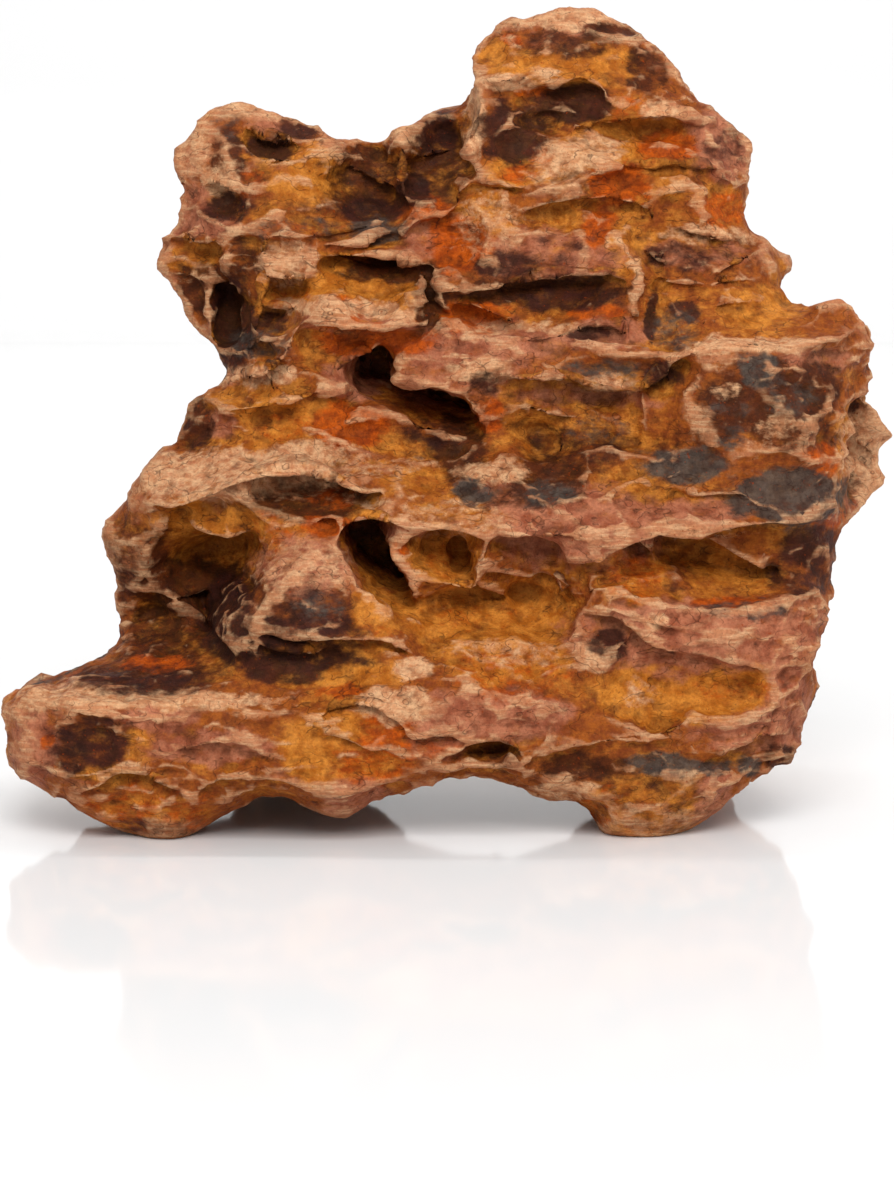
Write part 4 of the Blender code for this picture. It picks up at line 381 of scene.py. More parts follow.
RIGHT_LINES = [
    (0, [(54, 118, 1), (58, 121, 4), (62, 123.3, 6), (68, 124.9, 7), (74, 125.7, 7), (80, 125.7, 6),
         (86, 124.9, 5), (91, 124.4, 4), (96, 126.2, 1), (101, 128.3, -3), (105.5, 126, -14)]),
    (0, [(74, 129.3, -11), (80, 129.3, -13), (86, 130.5, -16), (92, 133, -22)]),
    (0, [(94, 131, -13), (99, 132, -14), (103, 130.2, -16)]),
    (0, [(100, 122, -3), (104, 122.5, -8)]),
    (0, [(60, 110, 5), (64, 104, 7), (66, 98, 7)]),
    (0, [(78, 113, 8), (86, 108, 10), (90, 101, 9)]),
    (0, [(104.5, 117, -12), (102.7, 111, -9), (100, 106.5, -4), (99.5, 100.5, -2), (98.5, 94, -2),
         (98.5, 88, -2), (98, 82.5, -4)]),
    (0, [(103.8, 109, -34), (101.8, 105.5, -38), (101.3, 100, -40), (100.5, 94, -40), (100.5, 88, -40),
         (100, 83, -38)]),
    (0, [(104, 104, -38), (107, 103, -38), (109.5, 100, -42)]),
    (3, [(103, 96, -38), (108, 94, -42)]),
    (0, [(103, 89, -38), (107, 89.5, -42)]),
    (2, [(50, 88.2, 3), (54, 87.7, 4), (58, 86.7, 4), (62, 85.7, 5), (68, 86.2, 6), (74, 86.2, 6),
         (78, 83.7, 6), (84, 81.7, 5), (92, 81.2, 3)]),
    (2, [(71, 95, 7), (78, 97.5, 9), (86, 97, 9), (92, 95, 7), (97, 92, 1)]),
    (0, [(13, 80.5, 6), (17.5, 80.5, 7), (19.5, 82.5, 7), (24, 83.8, 7), (29, 85.7, 7), (34, 88, 6),
         (40, 89, 4)]),
    (0, [(7.5, 75.5, 7), (11, 76, 8), (16, 79, 8), (18.5, 81.5, 7)]),
    (0, [(16, 76, 10), (24, 76, 13), (34, 76, 14), (44, 77, 13), (54, 79, 11), (66, 79.7, 9),
         (80, 80, 8), (94, 80.3, 2)]),
    (10, [(30, 69, 9), (34, 68, 11), (38, 69.5, 13), (43, 72, 13), (48, 74.5, 13), (53, 76.2, 11),
          (58, 75.5, 10), (64, 76, 9), (72, 77.7, 8), (80, 78.5, 7), (90, 79.3, 3), (97, 79.5, -6)]),
    (0, [(48, 73.3, 6), (51, 70, 1), (55, 65, 0), (60.5, 60.5, 6)]),
    (3, [(60, 74.5, -1), (66, 72.2, -3), (72, 69.7, -3), (79, 67.2, -1)]),
    (-8, [(33, 63, 8), (36, 64.3, 10), (41, 63.3, 11), (48, 61.5, 11), (55, 60, 11), (62, 59.3, 10),
          (68, 58.5, 9), (74, 59, 9), (80, 60.3, 8), (86, 62, 5), (92, 63, -1), (95.5, 62.5, -8)]),
    (0, [(40, 58, 13), (52, 54.5, 14), (65, 52, 13), (80, 51, 10), (90, 50, 3)]),
    (5, [(33, 57.5, 7), (38, 55.7, 10), (43, 53.2, 11), (46, 51, 11), (50, 49.2, 12), (56, 46.7, 12),
         (62, 45.7, 12), (72, 44.2, 11), (80, 42.9, 9)]),
    (0, [(31, 43, 9), (36, 45.5, 10), (40, 47.3, 11), (45, 49.8, 11)]),
    (0, [(79, 42.5, 9), (82.5, 39, 8), (83.5, 35.5, 7), (82, 32.7, 8)]),
    (-6, [(37, 32, 12), (44, 30.3, 13), (50, 29, 13), (52.5, 27.5, 13), (57, 29.5, 13), (62, 32.3, 12),
          (70, 32, 11), (76, 32.3, 10), (81.5, 33, 8)]),
    (0, [(40, 47, 11), (38.5, 41, 10), (38, 36, 11), (37, 32, 12)]),
    (0, [(86, 44, 5), (87.5, 36, 2), (88, 30, 0)]),
    (6, [(87.5, 26, -4), (84, 25.2, 3), (78, 24.2, 6), (71, 22, 8), (66, 20.2, 8), (62.5, 19.2, 8)]),
    (3, [(20, 20.7, 13), (25, 21.4, 14), (31, 23.2, 14), (38, 24.4, 14), (45, 24.7, 14), (52, 25.2, 13),
         (58, 25.2, 12), (61, 24, 11), (62, 19.5, 8)]),
    (0, [(32, 14, 9), (38, 10, 8), (45, 7, 7), (52, 6, 7), (60, 9, 6), (68, 13, 5)]),
    (0, [(45, 18, 11), (55, 16, 10), (65, 16, 7), (75, 17.5, 3)]),
    (0, [(20, 18.5, 12), (26, 15, 11), (31, 12, 9), (35, 7.5, 6)]),
]

BASE_LINES = [
    (0, [(-107, 37, -2), (-100, 38.5, -4), (-94, 40.5, -8), (-88, 43.5, -14), (-84, 45.8, -20)]),
    (0, [(-102, 36.7, 4), (-95, 38, 2), (-89, 41, -4)]),
    (-5, [(-109.5, 35.3, 2), (-104, 35.8, 8), (-99, 35.2, 12), (-94.5, 36.3, 14), (-91, 34.8, 15),
          (-86, 34.5, 16), (-78, 35.3, 16), (-70, 36.8, 15), (-62, 37.8, 14), (-57, 39, 13),
          (-54, 41.5, 10), (-52, 44, 7)]),
    (0, [(-93, 32.5, 18), (-84, 31.5, 18), (-72, 31.8, 18), (-64, 33, 17), (-56, 34, 17), (-48, 33, 18),
         (-42, 32, 18)]),
    (0, [(-108, 32, 6), (-105, 26, 9), (-104, 20, 10), (-101, 15, 9)]),
    (0, [(-80.5, 30, 18), (-80, 25, 18), (-79.5, 19.5, 18)]),
    (0, [(-100, 17, 12), (-95, 16, 15), (-90, 16.3, 17), (-84, 18, 18), (-79, 19, 18)]),
    (5, [(-92, 10.5, 12), (-87, 12.3, 15), (-82, 15.7, 17), (-76, 15.7, 17), (-70, 12.7, 16),
         (-64, 11, 14)]),
    (0, [(-85, 11.5, 11), (-80, 12.5, 13), (-75, 12, 13), (-69, 9.5, 13)]),
    (0, [(-84, 7, 8), (-76, 6, 9), (-68, 5, 9), (-60, 7.5, 9)]),
    (5, [(-63, 11, 14), (-58, 14.7, 16), (-54, 15.2, 17), (-47, 14.9, 17), (-40, 14, 17), (-36, 11.7, 16),
         (-32, 9.2, 14)]),
    (0, [(-52, 10.7, 12), (-44, 11, 13), (-37, 9.7, 13), (-32, 8, 12)]),
    (0, [(-72, 22, 17), (-65, 23, 18.5), (-59, 24.5, 19), (-53, 25, 19), (-47, 23, 19), (-43, 19, 18),
         (-41, 15, 17)]),
    (3, [(-34, 29, 19), (-31, 31.7, 19), (-27, 34, 19), (-22, 34.2, 20), (-17, 32.7, 20),
         (-13, 29.7, 20), (-10, 25.7, 19), (-8.5, 21.7, 17)]),
    (0, [(-42, 32, 18), (-41, 26, 18), (-41, 20, 18), (-38, 15, 17)]),
    (0, [(-38, 15, 17), (-30, 12, 15), (-22, 11, 14)]),
    (2, [(-30, 27, 19), (-25, 25.2, 19.5), (-20, 22.7, 19), (-13, 22.7, 18)]),
    (0, [(-12, 28.5, 20), (-7, 29.5, 20), (-3, 33, 20), (1, 36.5, 19), (6, 38, 19), (11, 37, 19),
         (18, 35.8, 18), (26, 34, 16), (33, 31, 13)]),
    (3, [(-9, 24.7, 19), (-4, 25.7, 19), (1, 26.2, 19), (4.5, 24.7, 18)]),
    (7, [(-1, 20.7, 17), (4, 22.2, 17), (8, 24, 17), (13, 24.2, 17), (17, 22.7, 16), (19.5, 20.2, 15)]),
    (0, [(5, 19.5, 15), (11, 18.3, 15), (15, 19.3, 15), (19.5, 20, 15)]),
    (0, [(-12, 15, 14), (-5, 16, 14), (3, 16.7, 14), (12, 16.7, 14), (19, 15.5, 13), (26, 12.5, 10)]),
]

# Floors of the hollows: lines that hold the face back.
HOLLOW_LINES = [
    [(-46.5, 174, -29), (-42, 173.6, -29)],
    [(-58, 160, -28), (-54, 159.7, -27)],
    [(-66, 146, -34), (-60, 146, -32)],
    [(-62, 134.5, -36), (-60.5, 130, -33)],
    [(-55.5, 138, -36), (-54, 131, -41), (-54, 125, -36)],
    [(-42, 137.5, -18), (-37, 136.5, -17)],
    [(-46, 130.3, -19), (-42, 130, -19)],
    [(-36, 124, -13), (-35, 119.5, -14), (-33.5, 116, -12)],
    [(-27, 125, -13), (-18, 125, -13), (-10, 126, -13)],
    [(-19, 174, -34), (-16, 169, -36)],
    [(-26, 162, -29), (-20, 159.7, -32), (-14.5, 157.7, -32)],
    [(-3, 181, -36), (-1, 176, -39), (0, 172, -39)],
    [(-8, 164, -29), (-3, 163, -30), (1, 162, -28)],
    [(24, 186, -25), (31, 185.5, -27), (37.5, 184.3, -25)],
    [(11, 176, -17), (18, 176.7, -21), (26, 178, -25)],
    [(36, 175.7, -22), (44, 175, -25), (52, 175.5, -26), (59, 177.5, -25)],
    [(42, 165, -16), (47, 165, -17)],
    [(66.5, 160.5, -22), (69.5, 159, -25), (70, 156.5, -25)],
    [(11, 162, -17), (16, 161, -17)],
    [(-4, 151.5, -20), (2, 151, -22), (6, 150.5, -19)],
    [(24, 155, -14), (32, 155.5, -15), (40, 156, -15)],
    [(4, 134.8, -12), (14, 135.8, -13), (24, 136.5, -14), (34, 137.5, -15), (42, 137, -12)],
    [(-28, 143, -27), (-18, 143.5, -29), (-8, 142, -26)],
    [(-26, 137, -17), (-16, 135.5, -17), (-10, 138, -18)],
    [(-62, 103, -23), (-50, 102.5, -15), (-38, 102.5, -14), (-26, 106, -13), (-18, 108, -12),
     (-8, 105.5, -12), (0, 103, -13), (5, 101, -13)],
    [(-40, 99.3, -13), (-24, 98.5, -12), (-8, 97, -12)],
    [(16, 108.5, -8), (26, 106.5, -7), (36, 105, -7), (44, 104.5, -6)],
    [(26, 98.5, -8), (36, 97.5, -7), (43, 99, -6)],
    [(-48, 87.7, -7), (-42, 86.5, -12), (-35, 85.5, -13), (-28, 85.7, -11), (-22, 85, -5)],
    [(-32, 78.8, -4), (-28.5, 79, -4)],
    [(-64, 81, -11), (-57, 80.5, -11)],
    [(-68, 66.5, -29), (-60, 65.7, -36), (-53, 66.5, -34)],
    [(-62, 57, -34), (-60.5, 52, -38), (-59.8, 47.5, -34)],
    [(-77, 54, -33), (-70, 52, -34)],
    [(-6, 71.5, -8), (-1, 72, -10)],
    [(-36, 60, 12), (-31, 57, 12), (-29, 54, 12)],
    [(-44, 45, 7), (-36, 43.3, 6), (-28, 44.5, 7)],
    [(-6, 56, -3), (2, 57.5, -8), (12, 57.5, -11), (22, 57, -11), (28, 56.5, -5)],
    [(13, 72, 0), (20, 70.5, -3), (26, 68, -4)],
    [(46, 69.5, -2), (54, 70, -9), (62, 66.5, -11), (72, 63.7, -9), (82, 64, -8)],
    [(38, 50, 6), (42, 50.5, 6)],
    [(42, 38, 7), (52, 38.5, 5), (64, 37, 4), (75, 36.5, 4)],
    [(8, 21.3, 9), (14, 21.5, 9)],
    [(66, 18.5, 4), (76, 18.5, 1)],
    [(-97, 25, 12), (-89, 25, 13.5), (-84, 24, 15)],
    [(-66, 19, 15), (-56, 19.5, 15), (-47, 18.5, 15.5)],
    [(-90, 37.5, 8), (-78, 40, 4), (-66, 41.5, 0), (-59, 43, -5)],
    [(84, 128.5, -12), (92, 128.5, -12), (98, 129.8, -13)],
    [(56, 94.5, 3), (63, 92, 3)],
    [(80, 88, 5), (92, 86.5, 2)],
]

FRONT_LINES = (UPPER_LEFT_LINES + PEAK_LINES + SHOULDER_LINES + MIDDLE_LINES + LEDGE_LINES + NOSE_LINES
               + RIGHT_LINES + BASE_LINES + [(0, line) for line in HOLLOW_LINES])

# Each patch: centre across and up, half width and half height, and how strongly the face sags there.
SCOOPS = [
    (-19, 171, 8, 6, 0.10), (-22, 160, 9, 5, 0.10), (-57, 160, 4, 3, 0.2), (-54, 131, 4, 9, 0.35),
    (-63, 145, 6, 3, 0.1), (-18, 139, 14, 6, 0.05), (-35, 119, 6, 6, 0.12), (-1, 151, 8, 5, 0.15),
    (0, 176, 5, 9, 0.10), (-3, 163, 8, 4, 0.10), (16, 175, 9, 5, 0.06), (46, 175, 14, 4, 0.12),
    (34, 155, 11, 4, 0.08), (69, 159, 4, 5, 0.12), (20, 136, 22, 3, 0.15), (-20, 103, 26, 6, 0.08),
    (0, 100, 7, 6, 0.16), (34, 103, 15, 9, 0.02), (-38, 86, 9, 4, 0.22), (-61, 80, 8, 3, 0.05),
    (-57, 60, 6, 10, 0.14), (-72, 53, 8, 6, 0.05), (-32, 58, 7, 7, 0.04), (12, 56, 18, 6, 0.10),
    (-2, 71, 6, 5, 0.14), (60, 67, 12, 6, 0.09), (84, 68, 9, 5, 0.06), (58, 38, 18, 5, 0.05),
    (40, 50, 4, 2, 0.15), (12, 21, 6, 2, 0.2), (90, 129, 6, 2, 0.1), (-90, 25, 8, 5, 0.03),
    (-56, 19, 11, 3, 0.03), (-27, 21, 10, 8, 0.02), (58, 94, 8, 4, 0.05), (85, 88, 10, 5, 0.04),
    (31, 185, 8, 4, 0.06), (44, 164, 6, 4, 0.06), (56, 118, 4, 3, 0.08), (-78, 42, 14, 4, 0.04),
]
SWELLS = [
    (-64, 170, 5, 7, 0.06), (-21, 117, 6, 5, 0.09), (-43, 145, 7, 4, 0.04), (30, 200, 18, 6, 0.05),
    (56, 166, 4, 3, 0.06), (78, 108, 18, 12, 0.06), (34, 80, 18, 6, 0.07), (62, 53, 24, 5, 0.05),
    (-40, 64, 8, 8, 0.05), (-104, 25, 5, 8, 0.06), (52, 11, 14, 6, 0.07), (8, 31, 14, 5, 0.05),
    (-72, 6, 12, 4, 0.08), (-78, 74, 6, 6, 0.06), (75, 28, 9, 3, 0.05), (-48, 104, 8, 4, 0.03),
    (-25, 15, 9, 5, 0.04), (-55, 93, 18, 4, 0.03), (104, 97, 5, 8, 0.06), (70, 146, 10, 4, 0.03),
    (20, 123, 20, 2, 0.04), (24, 151, 5, 3, 0.05),
]
SAG = 0.05

# Deep holes in the face: how far out their floor stands, then their rim.
WELLS = [
    (-52, [(-20.5, 112.5), (-19.5, 116.5), (-17.5, 118), (-14.7, 118.7), (-14.5, 115.5), (-13, 114),
           (-10, 113), (-8, 111), (-5.5, 109.2), (-9, 109.2), (-12, 109), (-16, 111.7)]),
    (-50, [(-4, 107), (-2, 108.5), (1, 109), (3, 108), (6, 106.5), (8, 104.5), (8, 103.7), (6, 104),
           (2, 106), (-1, 106)]),
    (-44, [(-26, 75), (-23, 75.7), (-17, 75), (-15, 73), (-13, 69), (-11, 64), (-10, 60.5), (-13, 60.5),
           (-15.5, 61.7), (-19, 65), (-22, 68.5), (-24, 72)]),
    (-13, [(0, 67), (1, 68.8), (4, 69.3), (5.8, 68), (5.8, 66), (2, 65.6)]),
]

# The back face: out is how far it stands behind the board.
BACK_LINES = [
    (3, [(-98, 22, 62), (-80, 28, 80), (-55, 24, 92), (-30, 30, 96), (0, 34, 94), (30, 28, 96),
         (58, 31, 94), (84, 34, 84)]),
    (0, [(-60, 12, 84), (-40, 14, 92), (-15, 18, 92)]),
    (0, [(40, 16, 90), (62, 12, 90), (80, 22, 82)]),
    (4, [(-82, 52, 66), (-66, 49, 84), (-44, 55, 97), (-20, 50, 104), (8, 56, 106), (36, 51, 104),
         (62, 58, 98), (90, 55, 82)]),
    (4, [(-78, 78, 66), (-58, 74, 85), (-34, 80, 98), (-6, 76, 108), (22, 82, 110), (50, 77, 106),
         (78, 82, 94), (98, 78, 80)]),
    (5, [(-60, 104, 66), (-42, 99, 82), (-18, 106, 96), (10, 101, 105), (38, 107, 107), (66, 102, 101),
         (92, 106, 88), (106, 100, 74)]),
    (4, [(-64, 146, 62), (-50, 141, 74), (-32, 146, 82), (-10, 140, 90), (14, 134, 98), (40, 130, 101),
         (64, 127, 96), (88, 126, 82), (102, 124, 66)]),
    (4, [(-64, 168, 58), (-48, 166, 70), (-30, 163, 75), (-10, 160, 78), (12, 162, 84), (36, 156, 90),
         (58, 154, 84), (74, 150, 70)]),
    (0, [(-40, 176, 60), (-26, 170, 66), (-12, 172, 64)]),
    (4, [(10, 186, 66), (28, 181, 78), (46, 184, 80), (64, 176, 68)]),
    (0, [(16, 200, 56), (32, 203, 60), (46, 199, 58)]),
    (0, [(-30, 30, 96), (-38, 42, 96), (-44, 55, 97)]),
    (0, [(30, 28, 96), (38, 40, 99), (36, 51, 104)]),
    (0, [(-20, 50, 104), (-14, 64, 103), (-6, 76, 108)]),
    (0, [(50, 77, 106), (56, 90, 102), (66, 102, 101)]),
    (0, [(-34, 80, 98), (-26, 92, 94), (-18, 106, 96)]),
    (0, [(10, 101, 105), (4, 118, 98), (14, 134, 98)]),
    (0, [(-32, 146, 82), (-24, 154, 78), (-30, 163, 75)]),
    (0, [(40, 130, 101), (46, 143, 94), (36, 156, 90)]),
    (0, [(28, 181, 78), (24, 171, 82), (12, 162, 84)]),
    (0, [(78, 82, 94), (84, 68, 90), (90, 55, 82)]),
]
BACK_SCOOPS = [
    (-58, 38, 12, 7, 0.08), (0, 42, 14, 6, 0.06), (62, 44, 14, 7, 0.08), (-50, 66, 10, 7, 0.06),
    (20, 66, 12, 7, 0.08), (-10, 92, 12, 7, 0.08), (40, 92, 12, 7, 0.08), (78, 92, 10, 7, 0.05),
    (-10, 122, 12, 9, 0.10), (40, 118, 14, 7, 0.06), (-44, 154, 10, 6, 0.07), (12, 148, 12, 7, 0.07),
    (60, 140, 8, 6, 0.06), (40, 170, 10, 7, 0.07), (-50, 88, 9, 7, 0.05), (72, 66, 8, 6, 0.05),
]
BACK_SWELLS = [(84, 112, 10, 6, 0.05), (-6, 64, 6, 5, 0.05), (30, 192, 12, 4, 0.06), (-52, 176, 8, 5, 0.05)]

# Lumps joined on as feet: centre across, back and up, then half width, half depth and half height.
FEET = [
    (-40, 74, 13, 18, 15, 14.4), (-33, 65, 21, 24, 17, 16), (-53, 69, 23, 16, 15, 14),
    (60, 72, 13, 17, 15, 14.4), (53, 63, 21, 23, 17, 16), (71, 65, 23, 14, 16, 14),
    (-71, 13, 9, 14, 14, 9.9), (51, 15, 10, 16, 17, 10.9),
]

# Stains on the face, family by family. Each patch: centre across and up, half width and half height, and
# how much of the patch is covered.
STAINS = {
    "ochre": [
        (-43.5, 171.3, 8, 1.8, 0.8), (-43, 166.5, 6, 3.5, 0.6), (-32.5, 168, 6, 6, 0.85),
        (-36, 163, 6, 4, 0.9), (-64, 145, 6, 4, 0.7), (-37, 136.5, 8, 4.5, 0.8), (-27, 138, 6, 8, 0.9),
        (-44, 157, 5, 3, 0.5), (-13, 136, 8, 4.5, 0.75), (-60, 182, 3, 2, 0.4), (-55, 164, 4, 4, 0.5),
        (-28, 164, 6, 6, 0.35), (14, 196, 6, 4.5, 0.75), (34, 194, 14, 6, 0.75), (16, 167.5, 6.5, 4, 0.7),
        (40, 174.5, 11, 5, 0.85), (33, 165, 6, 4, 0.4), (46, 183, 9, 4, 0.6), (47.5, 163, 4, 3, 0.6),
        (45, 148, 5, 7, 0.75), (10, 154, 8, 8, 0.75), (-4, 169, 5, 2.5, 0.6), (28, 172, 9, 4, 0.35),
        (68.5, 159, 6, 6, 0.85), (57, 165, 6, 5, 0.65), (79, 134, 9, 5, 0.8), (83.5, 143.5, 3, 4, 0.6),
        (60, 137, 10, 2, 0.4), (-57.5, 110.5, 5, 3, 0.75), (-38, 106, 15, 6, 0.8), (7, 131, 9, 4, 0.6),
        (16.5, 108, 4, 6, 0.5), (-0.5, 71, 8, 5.5, 0.85), (-78, 76, 6, 7, 0.45), (-60, 80, 11, 5.5, 0.9),
        (-42, 78, 8, 8, 0.75), (-70.5, 55, 5, 6, 0.6), (-69, 35, 25, 2.5, 0.35), (-10, 90, 7, 4, 0.5),
        (-19, 56, 5.5, 7, 0.85), (-30, 47.8, 16, 2.5, 0.6), (-22.5, 41.5, 11, 4, 0.95),
        (8, 57, 19, 7.5, 0.85), (15, 45.5, 16, 6, 0.8), (78, 105, 18, 8, 0.25), (99, 95, 2.5, 12, 0.6),
        (49, 88, 10, 4, 0.6), (46.5, 66.5, 9, 7, 0.8), (70, 67, 11, 6, 0.45), (45.5, 36.5, 5, 4, 0.9),
        (60, 37.5, 23, 7.5, 0.9), (-84.5, 17, 7, 2.4, 0.95), (-76.5, 24.5, 4, 5, 0.75),
        (-75, 7, 15, 6, 0.6), (-26, 23.5, 15, 10, 0.92), (50, 10, 16, 11, 0.65), (-100, 39, 8, 2, 0.3),
        (0, 81, 15, 4, 0.4), (-56, 88, 20, 3, 0.3),
    ],
    "pink": [
        (-42.5, 180.5, 8, 3, 0.7), (-63, 160, 4.5, 4.5, 0.7), (-61, 154, 9, 3, 0.85),
        (-25, 130, 15, 3, 0.6), (28, 206, 17, 3.5, 0.6), (30, 200, 9, 3, 0.4), (15, 151.5, 9, 4, 0.4),
        (69, 175, 8, 9, 0.85), (62.5, 147, 13, 3.5, 0.6), (27, 146, 19, 6.5, 0.6), (-7, 150, 5.5, 7, 0.65),
        (41, 127.5, 12, 4, 0.8), (-50, 116.5, 10, 3, 0.55), (-57.5, 104, 4.5, 3.5, 0.75),
        (-22.5, 116.5, 7, 6, 0.8), (7, 125, 23, 5, 0.8), (-1, 115, 14, 5.5, 0.6), (36, 111, 17, 3, 0.6),
        (-55, 91, 26, 6, 0.55), (13, 87, 5, 3.5, 0.65), (-15, 78, 11, 2.2, 0.7), (-96, 41.5, 12, 4, 0.65),
        (-36, 69, 12, 7.5, 0.8), (92, 120.5, 9, 4, 0.75), (64, 83, 12, 3.5, 0.75), (33, 79, 21, 10, 0.8),
        (63, 51.5, 31, 9, 0.85), (85, 34, 6, 11, 0.75), (105, 94, 6, 15, 0.6), (76, 27.5, 15, 5, 0.65),
        (-103, 24.5, 6, 10, 0.85), (-72.5, 30.5, 11, 3, 0.85), (-60, 23.5, 16, 4, 0.8),
        (-22.5, 10, 9, 6, 0.75), (11, 31.5, 20, 6, 0.9), (67.5, 10.5, 5, 8, 0.75), (-3, 23.5, 8, 3, 0.65),
        (90, 60, 5, 6, 0.4), (109, 93, 6, 16, 0.9), (-63, 168, 5, 8, 0.4), (-40, 146, 7, 5, 0.35),
        (20, 115, 10, 5, 0.35), (-30, 95, 16, 3, 0.4), (30, 91, 9, 2.5, 0.3),
    ],
    "brown": [
        (-52, 183.5, 4, 3, 0.75), (-55, 171, 3.5, 8, 0.75), (-51, 145.5, 4.5, 6, 0.65),
        (-46, 167, 6, 3, 0.3), (-61, 138.5, 7, 6, 0.85), (-50, 165, 6, 5, 0.5), (-19, 166, 7, 9, 0.75),
        (-25, 166, 7, 9, 0.45), (-14, 143, 13, 2.8, 0.9), (30, 199.5, 11, 4, 0.65), (42, 202.5, 8, 3, 0.85),
        (50, 193, 5, 6, 0.75), (30.5, 164.5, 5, 4, 0.4), (-3, 172, 8, 13, 0.75), (65, 148, 15, 7, 0.4),
        (79, 134, 8, 5, 0.3), (24, 137.5, 22, 4, 0.9), (-63, 104.5, 4, 6.5, 0.9), (2.5, 99, 7, 7, 0.9),
        (-4, 134, 4, 6.5, 0.9), (16.5, 108, 4.5, 5.5, 0.4), (32, 98, 15, 6, 0.6), (-36, 85.5, 16, 5.5, 0.9),
        (25.5, 89, 9, 5.5, 0.8), (-78, 72, 8, 9, 0.65), (-61, 65, 13, 5.5, 0.9), (-69, 51.5, 12, 9, 0.75),
        (-76, 41, 18, 5, 0.75), (90.5, 114.5, 8, 5, 0.85), (71, 112, 5, 2.5, 0.8), (67.5, 105, 5, 5, 0.7),
        (80, 111, 16, 9, 0.8), (88, 102, 9, 6, 0.6), (60, 97, 8, 6, 0.5), (48.5, 87.5, 10, 4, 0.35),
        (58, 67.5, 4, 7, 0.4), (10, 88, 10, 5, 0.6), (-44, 50, 9, 6, 0.6), (-30, 50, 14, 7, 0.5),
        (-41, 63, 9, 5, 0.35), (-72, 62, 12, 8, 0.4), (50, 10, 16, 11, 0.5), (33.5, 19, 10, 3.5, 0.85),
        (84, 20.5, 5, 4, 0.9), (-92, 24, 10, 7, 0.5), (-50, 125, 8, 4, 0.5), (-30, 159, 22, 3, 0.4),
        (40, 111, 12, 3, 0.3),
    ],
    "rust": [
        (-50, 165, 5, 4.5, 0.45), (-35, 152.5, 16, 2.2, 0.4), (-37, 135, 7, 3, 0.55),
        (-27, 133, 6, 3.5, 0.6), (-25, 128, 13, 3, 0.35), (16.5, 200.5, 2.5, 1.8, 0.8),
        (22, 187.5, 4, 1.8, 0.8), (22.5, 172, 3.5, 2.4, 0.8), (18.5, 167, 5, 2.4, 0.7),
        (55, 173.5, 7, 3.5, 0.85), (46, 183.5, 7, 3.5, 0.5), (43, 164, 6.5, 5, 0.92),
        (-5.5, 158, 7, 3.5, 0.85), (3, 149.5, 7, 7.5, 0.95), (38, 154, 4, 4.5, 0.85),
        (68.5, 158, 6, 5, 0.7), (38, 132.5, 9, 2, 0.7), (-24, 104, 8.5, 5.5, 0.92),
        (-17.5, 125, 14, 3.4, 0.95), (7, 131, 8, 4, 0.8), (10.5, 106.5, 3, 4, 0.85), (-28, 86.5, 7, 3, 0.6),
        (-30, 79, 6, 2.4, 0.92), (-12, 73, 3, 2.2, 0.8), (0, 71, 6, 4.5, 0.35), (-72.5, 44.5, 9, 2.2, 0.8),
        (-44, 77, 6, 5, 0.4), (-26.5, 37.3, 5.5, 1.8, 0.85), (8, 55, 12, 4, 0.3),
        (16.5, 41.5, 15, 7.5, 0.45), (93.5, 95.5, 4, 4, 0.7), (95, 80.5, 3.5, 2.8, 0.7),
        (46, 66, 8, 6, 0.55), (70.5, 59.5, 9, 1.8, 0.92), (74, 38, 13, 3, 0.4), (-100, 25.5, 2.5, 2, 0.8),
        (-75, 7, 16, 7, 0.5), (-15, 28, 6, 4.5, 0.75), (-18.5, 20, 10, 5.5, 0.6), (-3, 23.5, 8, 2.8, 0.5),
        (-40, 104, 9, 4, 0.4), (40, 8, 12, 6, 0.3), (36, 175, 12, 3, 0.3), (-19, 52, 5, 4, 0.35),
    ],
    "maroon": [
        (-36.5, 178.5, 5.5, 2.8, 0.85), (-44, 173.5, 6.5, 2.8, 1.0), (-55.5, 159, 6.5, 3.2, 1.0),
        (-19, 158.5, 8, 3, 0.8), (-53.5, 129, 5.5, 10, 1.0), (-44, 130.3, 4.5, 2.6, 0.75),
        (17, 178, 9, 8, 0.75), (16, 175, 6, 5, 0.9), (32.5, 184.5, 8.5, 4.5, 1.0), (-3, 178, 5.5, 7, 0.75),
        (-7.5, 162.5, 4.5, 4, 1.0), (14.5, 144, 7, 3, 0.8), (69, 174, 6, 5, 0.5),
        (57.5, 147, 8.5, 3.2, 0.6), (27, 146, 17, 6, 0.42), (60, 132.5, 3, 1.8, 0.9),
        (35.5, 127.5, 6.5, 1.6, 0.9), (52, 131.5, 1.6, 7, 1.0), (9, 114.5, 4, 4, 0.7), (32, 97, 12, 4, 0.3),
        (40, 100, 6, 4.5, 0.3), (54, 117.5, 5, 3.5, 0.8), (-40, 86, 10, 4.5, 0.35), (-55, 56, 5.5, 11, 1.0),
        (-76, 40, 17, 4, 0.62), (-51, 53.5, 6.5, 7, 0.6), (-34, 57, 12, 7, 0.62), (-44, 50, 9, 6, 0.7),
        (-27, 51, 7, 4, 0.5), (-29, 45, 10, 2.2, 0.7), (-41, 43, 10, 3, 0.92), (88, 67, 9, 6, 0.7),
        (91, 75, 7, 5, 0.82), (40.5, 49.5, 5, 3.5, 0.9), (-89.5, 24.5, 10, 7, 0.72),
        (-72.5, 2.5, 13, 3, 0.6), (12.5, 21, 7, 3.2, 0.6), (28, 136.5, 15, 3, 0.6), (-6, 101, 6, 5, 0.6),
        (-63, 104, 3, 5, 0.4),
    ],
    "grey": [
        (-16, 153, 6, 3.2, 0.8), (-34, 153, 20, 3, 0.42), (-47, 124.5, 8, 3.8, 0.6),
        (57.5, 128, 5, 5, 0.55), (40, 118.5, 11, 2.6, 0.62), (6.5, 87, 5, 3.2, 0.9), (25, 87, 6, 3.2, 0.8),
